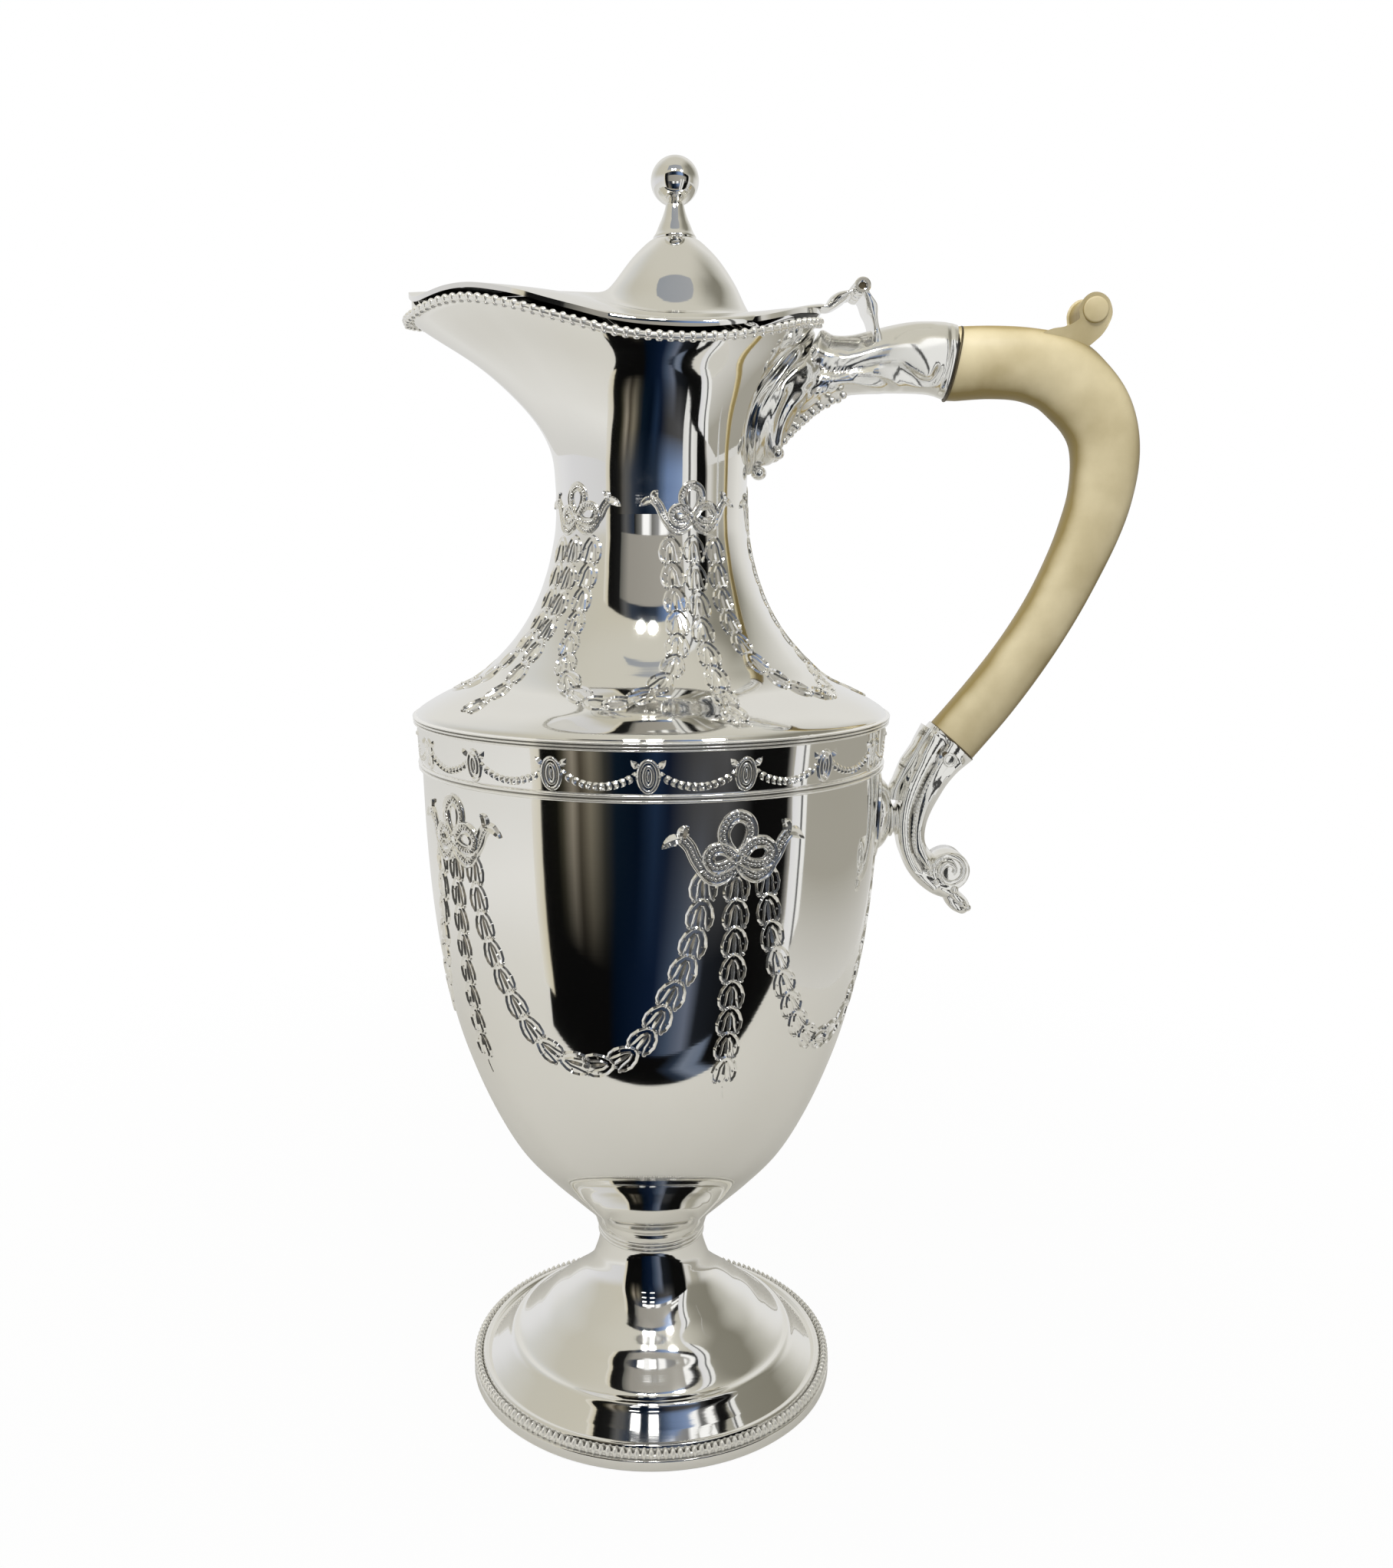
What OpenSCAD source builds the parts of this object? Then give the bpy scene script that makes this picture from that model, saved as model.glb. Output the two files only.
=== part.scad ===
// Silver ewer for wine: a footed bowl with a frieze band, a narrow neck, a wide pouring lip,
// a hinged lid with a ball finial, and a cream grip held in two cast branches.
// The origin is the centre of the foot on the table, +Z is up, the spout points along -X,
// and the handle lies along +X. All lengths are in millimetres.

/* [Foot] */
// Height of the foot with its stem
foot_h = 40.2; // [34:0.1:48]
// Radius of the foot where it rests
foot_r = 47.4; // [40:0.1:57]
// Radius of the stem at its top
stem_r = 13.2; // [11:0.1:16]
// Thickness of the spun foot
foot_wall = 1.4; // [1:0.1:1.8]
// Height of the flat outer rim of the foot
rim_h = 2.8; // [2.2:0.1:3.4]
// Width of the ring that touches the table
rest_w = 2; // [1.6:0.1:2.4]
// Radius of the beaded wire on the rim
foot_wire_r = 1.1; // [0.9:0.1:1.4]
// Height of the ringed collar under the bowl
collar_h = 3; // [2.4:0.1:4]
// Thickness of the collar
collar_t = 0.8; // [0.6:0.1:1.1]

/* [Bowl] */
// Height of the bowl from the stem to the frieze band
bowl_h = 122.5; // [100:0.5:146]
// Radius of the bowl at the frieze band
bowl_r = 56.4; // [50:0.1:67]
// Thickness of the raised sheet of the bowl and shoulder
sheet_t = 1.2; // [0.9:0.1:1.5]

/* [Frieze band] */
// Height of the frieze band
band_h = 13.3; // [11:0.1:16]
// How far the band stands out from the bowl at its top
band_flare = 1.2; // [1:0.1:1.5]
// Height of each reeded moulding on the band
moulding_h = 2.2; // [1.8:0.1:2.7]
// How far a moulding stands out from the band
moulding_t = 0.9; // [0.7:0.1:1.2]
// Number of oval paterae round the band
patera_count = 17; // [12:1:20]
// Height of one patera
patera_h = 6.2; // [5:0.1:7.4]
// Width of one patera
patera_w = 4.3; // [3.5:0.1:5.2]
// How far a patera stands out from the band
patera_t = 0.5; // [0.4:0.05:0.7]

/* [Shoulder and neck] */
// Height of the shoulder from the band to the neck seam
shoulder_h = 47; // [40:0.5:56]
// Radius of the neck at its seam
neck_r = 23; // [19:0.1:27.4]

/* [Mouth] */
// Height from the neck seam to the lowest place of the lip wire
mouth_h = 36.5; // [31:0.5:43.5]
// Reach of the spout from the neck's axis
spout_reach = 57.7; // [50:0.1:68.7]
// Reach of the lip behind the neck's axis
rear_reach = 40.5; // [35:0.1:48.2]
// Half the width of the mouth
mouth_half_w = 36.2; // [30:0.1:43]
// How far the widest place of the mouth lies behind the neck's axis
mouth_mid = 2; // [1.6:0.1:2.4]
// Rise of the lip wire towards the spout
lip_rise = 10.3; // [8.5:0.1:12.3]
// Radius of the beaded wire under the lip
lip_wire_r = 1.2; // [1:0.05:1.45]
// Height of the sheet's edge over the middle of the wire
edge_rise = 1; // [0.8:0.05:1.2]
// Extra rise of the sheet at the tip of the spout
tip_rise = 4.6; // [3.8:0.1:5.5]

/* [Lid] */
// Thickness of the lid
lid_t = 1.1; // [0.9:0.05:1.35]
// Gap between the lip's edge and the lid
lid_gap = 1.2; // [1:0.05:1.45]
// Radius of the dome at its foot
dome_r = 18; // [15:0.1:21.4]
// Height of the dome over its foot
dome_h = 18.3; // [15.2:0.1:21.8]
// How far the dome's axis lies behind the neck's axis
dome_x = 5.5; // [4.6:0.1:6.6]
// Height of the dome's foot over the lowest place of the lip wire
dome_lift = 8.7; // [7.5:0.1:10.3]
// Rise of the lid's spout over the dome's foot
spout_ridge = 7.6; // [6.3:0.1:9]

/* [Finial] */
// Height of the finial over the lid
finial_h = 18.6; // [15.5:0.1:22.2]
// Radius of the finial's ball
ball_r = 5.6; // [4.7:0.1:6.6]
// Radius of the finial's spreading base
finial_base_r = 5; // [4.6:0.1:5.9]
// Radius of the stud that passes through the lid
stud_r = 1.6; // [1.35:0.05:1.9]
// Thickness of the nut under the lid
nut_h = 2.2; // [1.85:0.05:2.6]
// Distance from the stud's axis to a corner of the nut
nut_r = 3.6; // [3.1:0.1:4.2]

/* [Hinge] */
// Width of the hinge along its pin
hinge_w = 15; // [12.5:0.1:17.8]
// Radius of the hinge's knuckles
knuckle_r = 1.9; // [1.6:0.05:2.2]
// Radius of the hinge pin
pin_r = 0.8; // [0.7:0.05:0.95]
// Distance of the hinge pin behind the lip
hinge_back = 8.3; // [7:0.1:9.8]
// Height of the hinge pin over the lip wire there
hinge_up = 7.6; // [6.8:0.1:8.9]
// Thickness of the plate that carries the hinge
stand_t = 1.8; // [1.5:0.05:2.1]
// Thickness of the leaf on the lid
leaf_t = 1.3; // [1.1:0.05:1.55]
// Length of the leaf on the lid from its tip to the lid's edge
leaf_l = 11.5; // [9.6:0.1:13.7]

/* [Handle] */
// Distance of the upper joint behind the lip
upper_reach = 31.15; // [26:0.05:37]
// Distance of the upper joint below the lowest place of the lip wire
upper_drop = 1; // [0.8:0.05:1.2]
// Distance of the lower joint outside the bowl
lower_reach = 18.4; // [16:0.1:21.9]
// Height of the lower joint over the lower edge of the band
lower_rise = 5.3; // [4.4:0.1:6.3]
// How far the grip bows out from the line between its joints
grip_bow = 36.7; // [30.5:0.1:43.7]
// Thickness of the grip at the upper joint
grip_t = 17.1; // [14.2:0.1:20.3]
// Width of the grip across the handle
grip_w = 12.4; // [10.3:0.1:14.7]
// Radius of the curl on the grip
curl_r = 3.2; // [2.7:0.05:3.8]
// Thickness of the tongue that carries the curl
tongue_t = 3; // [2.5:0.05:3.5]
// Radius of the tenons that enter the branches
tenon_r = 3.1; // [2.6:0.05:3.6]
// Length of the upper tenon
upper_tenon_l = 13; // [11:0.1:15.4]
// Length of the lower tenon
lower_tenon_l = 6; // [5:0.1:7.1]
// Radius of the pins through the tenons
rivet_r = 0.85; // [0.7:0.05:1]

/* [Lower branch] */
// Thickness of the arm under the lower joint
arm_t = 6.4; // [5.3:0.1:7.6]
// Radius of the scroll at the end of the arm
scroll_r = 5; // [4.2:0.1:5.9]
// Radius of the strut between the bowl and the arm
strut_r = 4.3; // [3.6:0.1:5]
// Height of the strut's middle below the lower joint
strut_drop = 19.8; // [17.5:0.1:22.5]
// Height of the plate on the bowl
plate_h = 22.5; // [19:0.1:26]
// Width of the plate on the bowl
plate_w = 17; // [14.2:0.1:20.2]
// Thickness of the plate at its middle
plate_t = 3.2; // [2.7:0.1:3.8]

/* [Hidden] */
$fn = 96;

// Clearances: soldered seats, the grip's tenons, the pin in the lid's knuckles and between knuckles
seat_gap = 0.1;
tenon_gap = 0.08;
run_gap = 0.06;
knuckle_gap = 0.25;
// Overrun of every cut
over = 1;

silver = [0.87, 0.86, 0.83];
pale_silver = [0.93, 0.92, 0.88];
cream = [0.88, 0.82, 0.65];

// Heights of the seams, from the table up
z_bowl = foot_h;
z_band = z_bowl + bowl_h;
z_shoulder = z_band + band_h;
z_seam = z_shoulder + shoulder_h;
z_lip = z_seam + mouth_h;

// Outlines as shares, each point [radius, height]
foot_shares = [[0.82, 0.16], [0.735, 0.225], [0.69, 0.262], [0.63, 0.284], [0.505, 0.373],
    [0.406, 0.448], [0.257, 0.547], [0.105, 0.672], [0.038, 0.796], [0.01, 0.896], [0, 1]];
bowl_shares = [[0.253, 0], [0.281, 0.031], [0.381, 0.08], [0.5, 0.137], [0.618, 0.202],
    [0.717, 0.284], [0.807, 0.382], [0.881, 0.488], [0.936, 0.611], [0.97, 0.733],
    [0.99, 0.864], [1, 1]];
shoulder_shares = [[1, 0], [0.965, 0.026], [0.83, 0.085], [0.59, 0.17], [0.425, 0.277],
    [0.274, 0.404], [0.153, 0.553], [0.066, 0.723], [0.014, 0.894], [0, 1]];
// Share of the spread from neck to lip, each point [height, spread]
flare_shares = [[0, 0], [0.16, 0.002], [0.33, 0.03], [0.48, 0.13], [0.64, 0.32], [0.79, 0.56],
    [0.94, 0.88], [1, 1]];
// Share of the lip's rise by the angle round the mouth, 0 at the hinge and 180 at the spout
lip_shares = [[0, 0.78], [34, 0.51], [45, 0.35], [56, 0.19], [66, 0.08], [77, 0.01], [87, 0.01],
    [96, 0.06], [103, 0.17], [110, 0.35], [117, 0.54], [124, 0.74], [131, 0.89], [138, 0.99],
    [146, 1], [154, 0.94], [163, 0.86], [180, 0.79]];
// Power that draws the front half of the mouth to a point, over an ellipse's 1
spout_power = 1.11;
tip_power = 40;

// Point of a cubic curve through a table of [place, value]
function step_of(table, x, i = 0) =
    (i >= len(table) - 2 || x <= table[i + 1][0]) ? i : step_of(table, x, i + 1);
function slope_of(table, i) =
    let (a = max(0, i - 1), b = min(len(table) - 1, i + 1))
    (table[b][1] - table[a][1]) / (table[b][0] - table[a][0]);
function along(table, x) =
    let (i = step_of(table, x),
        h = table[i + 1][0] - table[i][0],
        u = min(1, max(0, (x - table[i][0]) / h)))
    (2 * u ^ 3 - 3 * u ^ 2 + 1) * table[i][1] + (u ^ 3 - 2 * u ^ 2 + u) * h * slope_of(table, i)
    + (3 * u ^ 2 - 2 * u ^ 3) * table[i + 1][1] + (u ^ 3 - u ^ 2) * h * slope_of(table, i + 1);

// Smooth curve through points, with n steps from each to the next
function smooth(p, n) =
    let (last = len(p) - 1)
    [for (i = [0:last - 1]) for (k = [0:n - 1])
        let (u = k / n,
            a = p[max(0, i - 1)],
            b = p[i],
            c = p[i + 1],
            d = p[min(last, i + 2)])
        0.5 * (2 * b + (c - a) * u + (2 * a - 5 * b + 4 * c - d) * u ^ 2
            + (3 * b - a - 3 * c + d) * u ^ 3),
    p[last]];

// Curve moved by a distance to its left side
function moved(p, dist) =
    let (last = len(p) - 1)
    [for (i = [0:last])
        let (d = p[min(last, i + 1)] - p[max(0, i - 1)])
        p[i] + dist * [-d[1], d[0]] / norm(d)];

function back(p) = [for (i = [len(p) - 1:-1:0]) p[i]];
function unit(v) = v / norm(v);
function mix(a, b, u) = a + (b - a) * u;

// Skin of a hollow ring: rows of points, closed along the rows and across them
module ring_shell(rows) {
    m = len(rows);
    n = len(rows[0]);
    polyhedron(
        points = [for (row = rows) for (p = row) p],
        faces = [for (i = [0:m - 1]) for (j = [0:n - 1])
            [i * n + j, ((i + 1) % m) * n + j, ((i + 1) % m) * n + (j + 1) % n,
                i * n + (j + 1) % n]]);
}

// Skin over a row of rings, closed by a flat face at each end
module loft(rings) {
    m = len(rings);
    n = len(rings[0]);
    polyhedron(
        points = [for (ring = rings) for (p = ring) p],
        faces = concat(
            [[for (j = [0:n - 1]) j]],
            [[for (j = [n - 1:-1:0]) (m - 1) * n + j]],
            [for (i = [0:m - 2]) for (j = [0:n - 1])
                [i * n + j, (i + 1) * n + j, (i + 1) * n + (j + 1) % n, i * n + (j + 1) % n]]));
}

// Oval ring about a point of the handle's plane. The angle tilts its height from +Z towards +X.
function oval(centre, half_t, half_w, tilt, sides) =
    [for (j = [0:sides - 1])
        let (a = 360 * j / sides,
            up = half_t * sin(a))
        [centre[0] + up * sin(tilt), half_w * cos(a), centre[1] + up * cos(tilt)]];

// Foot
rebate_r = foot_r - 2 * foot_wire_r;
// Half-round ring inside the beaded wire
foot_ring_r = foot_wire_r * 0.9;
foot_ring = [for (a = [0:30:150])
    [rebate_r - foot_ring_r + foot_ring_r * cos(a),
        rim_h + foot_wire_r * 1.45 + foot_ring_r * sin(a)]];
foot_outline = smooth(
    [for (p = foot_shares) [stem_r + (foot_r - stem_r) * p[0], foot_h * p[1]]], 3);
stem_hole_r = stem_r - foot_wall;
foot_inside = [for (p = moved(foot_outline, foot_wall)) [max(stem_hole_r, p[0]), p[1]]];

module foot() {
    color(silver)
    rotate_extrude()
    polygon(concat(
        [[foot_r - rest_w, 0], [foot_r, 0], [foot_r - rim_h / 12, rim_h], [rebate_r, rim_h]],
        foot_ring,
        foot_outline,
        [[stem_hole_r, foot_h]],
        [for (p = back(foot_inside)) if (p[1] < foot_h - foot_wall && p[1] > rim_h) p],
        [[rebate_r - foot_wall, rim_h], [rebate_r - foot_wall, rim_h / 2],
            [foot_r - rest_w, rim_h / 2]]));
}

module foot_bead_wire() {
    color(pale_silver)
    translate([0, 0, rim_h + foot_wire_r])
    rotate_extrude()
    translate([rebate_r + foot_wire_r, 0])
    circle(r = foot_wire_r, $fn = 24);
}

// Collar of three rings round the stem
collar_rings = 3;
collar_outline = [for (i = [0:collar_rings - 1]) for (a = [-75:50:75])
    [stem_r + collar_t * (0.5 + 0.5 * cos(a)),
        foot_h - collar_h + (i + 0.5 + 0.5 * sin(a)) * collar_h / collar_rings]];

module stem_collar() {
    color(silver)
    difference() {
        rotate_extrude()
        polygon(concat([[stem_r - foot_wall / 2, foot_h - collar_h]], collar_outline,
            [[stem_r - foot_wall / 2, foot_h]]));
        rotate_extrude()
        polygon(concat([[0, 0]], [for (p = foot_outline) p + [seat_gap, 0]],
            [[stem_r + seat_gap, foot_h + over], [0, foot_h + over]]));
    }
}

// Bowl
bowl_points = [for (p = bowl_shares) [bowl_r * p[0], z_bowl + bowl_h * p[1]]];
bowl_outline = smooth(bowl_points, 4);
bowl_inside = [for (p = moved(bowl_outline, sheet_t))
    if (p[1] > z_bowl + sheet_t && p[1] < z_band) p];

function bowl_r_at(z) =
    bowl_r * along([for (p = bowl_shares) [p[1], p[0]]], (z - z_bowl) / bowl_h);

module bowl() {
    color(silver)
    rotate_extrude()
    polygon(concat([[0, z_bowl]], bowl_outline, [[bowl_r - sheet_t, z_band]],
        back(bowl_inside), [[0, z_bowl + sheet_t]]));
}

// Frieze band, with a moulding along each edge and oval paterae between them
band_top_r = bowl_r + band_flare;
band_slope = atan(band_flare / band_h);
patera_z = z_band + band_h / 2 - moulding_h / 8;

function oval_outline(w, h, sides) =
    [for (j = [0:sides - 1]) [h / 2 * cos(360 * j / sides), w / 2 * sin(360 * j / sides)]];

module patera() {
    border = patera_t * 1.3;
    linear_extrude(patera_t + sheet_t / 2)
    difference() {
        polygon(oval_outline(patera_w, patera_h, 20));
        polygon(oval_outline(patera_w - 2 * border, patera_h - 2 * border, 20));
    }
    linear_extrude(patera_t * 0.8 + sheet_t / 2)
    polygon(oval_outline(patera_w - 3.4 * border, patera_h - 3.4 * border, 16));
}

module frieze_band() {
    color(silver) {
        rotate_extrude()
        polygon([[bowl_r - sheet_t, z_band], [bowl_r, z_band], [band_top_r, z_shoulder],
            [band_top_r - sheet_t, z_shoulder]]);
        for (i = [0:patera_count - 1])
            rotate(360 * i / patera_count - 90)
            translate([bowl_r + band_flare / 2 - sheet_t / 2, 0, patera_z])
            rotate([0, 90 - band_slope, 0])
            patera();
    }
}

// Moulding of rounded reeds, seated on the band between two heights
module reeds(z, count) {
    r0 = bowl_r + band_flare * (z - z_band) / band_h;
    color(pale_silver)
    difference() {
        rotate_extrude()
        polygon(concat([[r0 - sheet_t / 2, z]],
            [for (i = [0:count - 1]) for (a = [-80:40:80])
                [r0 + moulding_t * (0.45 + 0.55 * cos(a)) + i * band_flare / band_h,
                    z + (i + 0.5 + 0.5 * sin(a)) * moulding_h / count]],
            [[r0 - sheet_t / 2, z + moulding_h]]));
        rotate_extrude()
        polygon([[0, z_band - over], [bowl_r - over * band_flare / band_h, z_band - over],
            [band_top_r + over * band_flare / band_h, z_shoulder + over], [0, z_shoulder + over]]);
    }
}

module band_upper_moulding() {
    reeds(z_shoulder - moulding_h, 3);
}

module band_lower_moulding() {
    reeds(z_band, 2);
}

// Shoulder and lower neck
shoulder_outline = smooth([for (p = shoulder_shares)
    [neck_r + (band_top_r - neck_r) * p[0], z_shoulder + shoulder_h * p[1]]], 4);
shoulder_inside = [for (p = moved(shoulder_outline, sheet_t))
    if (p[1] > z_shoulder && p[1] < z_seam && p[0] < band_top_r - sheet_t) p];

module shoulder() {
    color(silver)
    rotate_extrude()
    polygon(concat(shoulder_outline, [[neck_r - sheet_t, z_seam]], back(shoulder_inside),
        [[band_top_r - sheet_t, z_shoulder]]));
}

// Plan of the lip: half an ellipse behind, drawn to a point in front. The inset shrinks it.
function lip_xy(t, inset) =
    let (c = cos(t), s = sin(t), w = mouth_half_w - inset)
    c >= 0
        ? [mouth_mid + (rear_reach - mouth_mid - inset) * c, w * s]
        : [mouth_mid - (spout_reach + mouth_mid - inset) * (-c) ^ spout_power,
            w * sign(s) * abs(s) ^ spout_power];
function folded(t) = abs(t) > 180 ? 360 - abs(t) : abs(t);
function wire_z(t) = z_lip + lip_rise * along(lip_shares, folded(t));
function tip_share(t) = max(0, -cos(t)) ^ tip_power;
function edge_z(t) = wire_z(t) + edge_rise + tip_rise * tip_share(t);

// Outer face of the mouth at an angle and a share of its height, up to the wire's middle.
// Above the wire the sheet stands upright to its edge.
function lip_face(t) = lip_xy(t, lip_wire_r + seat_gap / 2);
function mouth_at(t, v) =
    let (g = along(flare_shares, v), e = lip_face(t))
    [mix(neck_r * cos(t), e[0], g), mix(neck_r * sin(t), e[1], g), mix(z_seam, wire_z(t), v)];
function mouth_normal(t, v) =
    let (a = mouth_at(t + 1, v) - mouth_at(t - 1, v),
        b = mouth_at(t, min(1, v + 0.01)) - mouth_at(t, max(0, v - 0.01)))
    unit(cross(a, b));

mouth_sides = 60;
mouth_rows = 11;

module mouth() {
    angles = [for (j = [0:mouth_sides - 1]) 360 * j / mouth_sides];
    outside = [for (i = [0:mouth_rows]) [for (t = angles) mouth_at(t, i / mouth_rows)]];
    inside = [for (i = [0:mouth_rows]) [for (t = angles)
        let (v = i / mouth_rows,
            n = mouth_normal(t, v),
            level = i == 0 || i == mouth_rows ? unit([n[0], n[1], 0]) : n)
        mouth_at(t, v) - sheet_t * level]];
    color(silver)
    ring_shell(concat(outside, [at_edge(outside[mouth_rows], angles)],
        [at_edge(inside[mouth_rows], angles)], back(inside)));
}

function at_edge(row, angles) =
    [for (j = [0:len(row) - 1]) [row[j][0], row[j][1], edge_z(angles[j])]];

// Wire along the lip, open behind where the upper branch meets the mouth
leaf_top_half = 15;
wire_steps = 66;
wire_start = leaf_top_half + 3;

module lip_bead_wire() {
    sides = 8;
    color(pale_silver)
    loft([for (i = [0:wire_steps])
        let (t = mix(wire_start, 360 - wire_start, i / wire_steps),
            p = concat(lip_xy(t, 0), wire_z(t)),
            d = concat(lip_xy(t + 1, 0), wire_z(t + 1)) - concat(lip_xy(t - 1, 0), wire_z(t - 1)),
            out = unit(cross(d, [0, 0, 1])),
            up = unit(cross(out, d)))
        [for (j = [0:sides - 1])
            let (a = 360 * (j + 0.5) / sides)
            p + lip_wire_r * (cos(a) * out + sin(a) * up)]]);
}

// Handle: the joints at the two ends of the grip, [x, z]
upper_joint = [rear_reach + upper_reach, z_lip - upper_drop];
lower_joint = [bowl_r + lower_reach, z_band + lower_rise];
upper_tilt = 11.1;
lower_tilt = 131.4;
// Middle line of the grip from the upper joint down, [height, bow] as shares
grip_shares = [[1, 0], [1.004, 0.25], [0.998, 0.48], [0.975, 0.683], [0.932, 0.815],
    [0.879, 0.923], [0.817, 0.985], [0.744, 1], [0.658, 0.972], [0.579, 0.913], [0.486, 0.818],
    [0.366, 0.669], [0.243, 0.479], [0.119, 0.25], [0, 0]];
// Thickness of the grip at the same places
grip_t_shares = [1, 0.98, 0.99, 1.06, 1.06, 1.03, 0.98, 0.945, 0.895, 0.86, 0.81, 0.775, 0.77,
    0.79, 0.795];
lower_t = grip_t * 0.795;
grip_line = [for (p = grip_shares)
    mix(lower_joint, upper_joint, p[0]) + [grip_bow * p[1], 0]];

module pin_along_y(p, r, l, $fn = 32) {
    translate([p[0], 0, p[1]])
    rotate([90, 0, 0])
    cylinder(r = r, h = l, center = true);
}

// Cylinder in the handle's plane from a joint, leaning from +Z by the angle
module rod(p, lean, r, l, $fn = 48) {
    translate([p[0], 0, p[1]])
    rotate([0, lean, 0])
    cylinder(r = r, h = l);
}

// Leans of the two tenons, out of the grip and into its branches
upper_lean = upper_tilt - 90;
lower_lean = lower_tilt + 90;
function lean_dir(lean) = [sin(lean), cos(lean)];
upper_rivet = upper_joint + upper_tenon_l * 0.55 * lean_dir(upper_lean);
lower_rivet = lower_joint + lower_tenon_l * 0.6 * lean_dir(lower_lean);

// Curl on the outer side of the grip's bend
curl_at = upper_joint + [grip_bow * 0.87, grip_t * 0.7];
tongue_w = grip_w * 0.8;
tongue_outer_r = curl_r + tongue_t * 0.45;

module tongue_outline() {
    root = curl_at - [curl_r * 3.4, curl_r * 1.75];
    polygon(concat(
        smooth([curl_at - [curl_r * 2.6, curl_r * 1.1], curl_at - [curl_r * 1.5, curl_r * 1.05],
            curl_at - [curl_r * 0.6, curl_r * 0.8]], 4),
        [for (a = [-90:15:0]) curl_at + curl_r * 0.9 * [cos(a), sin(a)]],
        [for (a = [0:-12:-84]) curl_at + tongue_outer_r * [cos(a), sin(a)]],
        [curl_at - [0, curl_r * 2.2], curl_at - [curl_r, curl_r * 3.2], root - [0, curl_r * 2.2],
            root]));
}

module handle_grip() {
    sides = 16;
    n = 2;
    line = smooth(grip_line, n);
    half = smooth([for (s = grip_t_shares) [grip_t * s / 2, 0]], n);
    last = len(line) - 1;
    color(cream)
    difference() {
        union() {
            loft([for (i = [0:last])
                let (d = line[min(last, i + 1)] - line[max(0, i - 1)],
                    lean = atan2(d[0], d[1]),
                    tilt = i == 0 ? upper_tilt : i == last ? lower_tilt
                        : lean - 90)
                oval(line[i], half[i][0], grip_w / 2 * (1 - 0.1 * i / last), tilt, sides)]);
            translate([0, tongue_w / 2, 0])
            rotate([90, 0, 0])
            linear_extrude(tongue_w)
            tongue_outline();
            pin_along_y(curl_at, curl_r, tongue_w);
            rod(upper_joint - over * lean_dir(upper_lean), upper_lean, tenon_r,
                upper_tenon_l + over);
            rod(lower_joint - over * lean_dir(lower_lean), lower_lean, tenon_r,
                lower_tenon_l + over);
        }
        pin_along_y(upper_rivet, rivet_r + tenon_gap, grip_w + over);
        pin_along_y(lower_rivet, rivet_r + tenon_gap, grip_w + over);
    }
}

// Hinge
hinge_at = [rear_reach + hinge_back, wire_z(0) + hinge_up];
knuckles = 5;
knuckle_w = hinge_w / knuckles;
stand_foot = hinge_at + [knuckle_r * 2.1, -hinge_up - 2.2];
stand_base_w = hinge_w * 0.86;

module knuckle_row(first, grow, r) {
    for (i = [first:2:knuckles - 1])
        translate([hinge_at[0], hinge_w / 2 - (i + 0.5) * knuckle_w, hinge_at[1]])
        rotate([90, 0, 0])
        cylinder(r = r, h = knuckle_w + grow, center = true, $fn = 48);
}

// Side view of the hinge plate, from the knuckles down to its foot in the branch
stand_outline = [hinge_at + [-0.2, 0.2] * knuckle_r, hinge_at + [1, 0] * knuckle_r,
    hinge_at + [1.5, -1.1] * knuckle_r, stand_foot + [stand_t / 2, hinge_up * 0.62],
    stand_foot + [stand_t / 2, 0], stand_foot - [stand_t / 2, 0],
    stand_foot + [-stand_t / 2, hinge_up * 0.35], hinge_at + [0.3, -1.4] * knuckle_r];

module hinge_stand() {
    color(pale_silver)
    difference() {
        union() {
            intersection() {
                translate([0, hinge_w / 2, 0])
                rotate([90, 0, 0])
                linear_extrude(hinge_w)
                polygon(stand_outline);
                translate([stand_foot[0], 0, stand_foot[1] - over])
                rotate([90, 0, 90])
                linear_extrude(4 * hinge_back, center = true)
                polygon([[-stand_base_w / 2, 0], [stand_base_w / 2, 0],
                    [stand_base_w / 2, hinge_up * 0.5], [hinge_w / 2, hinge_up],
                    [hinge_w / 2, 3 * hinge_up], [-hinge_w / 2, 3 * hinge_up],
                    [-hinge_w / 2, hinge_up], [-stand_base_w / 2, hinge_up * 0.5]]);
            }
            knuckle_row(0, 0, knuckle_r);
        }
        knuckle_row(1, 2 * knuckle_gap, knuckle_r + 2 * knuckle_gap);
        pin_along_y(hinge_at, pin_r + seat_gap / 4, hinge_w + over);
    }
}

module hinge_pin() {
    color(silver)
    pin_along_y(hinge_at, pin_r, hinge_w - 2 * pin_r);
}

// Upper branch: a leaf on the mouth, an arm, and a socket for the grip's tenon.
// Half the leaf's angle on the mouth by share of its height, and the heights that it spans
leaf_half_shares = [[0, 0.3], [0.2, 1.3], [0.5, 1.75], [0.8, 1.3], [1, 1]];
leaf_low_share = 0.22;
leaf_high_share = 0.97;
// Stations of the arm from the leaf to the socket: [reach, top, bottom, half width] as shares
arm_shares = [[0.2, 0.8, -0.82, 1.5], [0.34, 0.92, -0.81, 1.36], [0.5, 1.04, -0.82, 1.2],
    [0.69, 1.13, -0.87, 1.1], [0.88, 1.1, -0.94, 1.06]];
branch_sides = 20;

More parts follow.
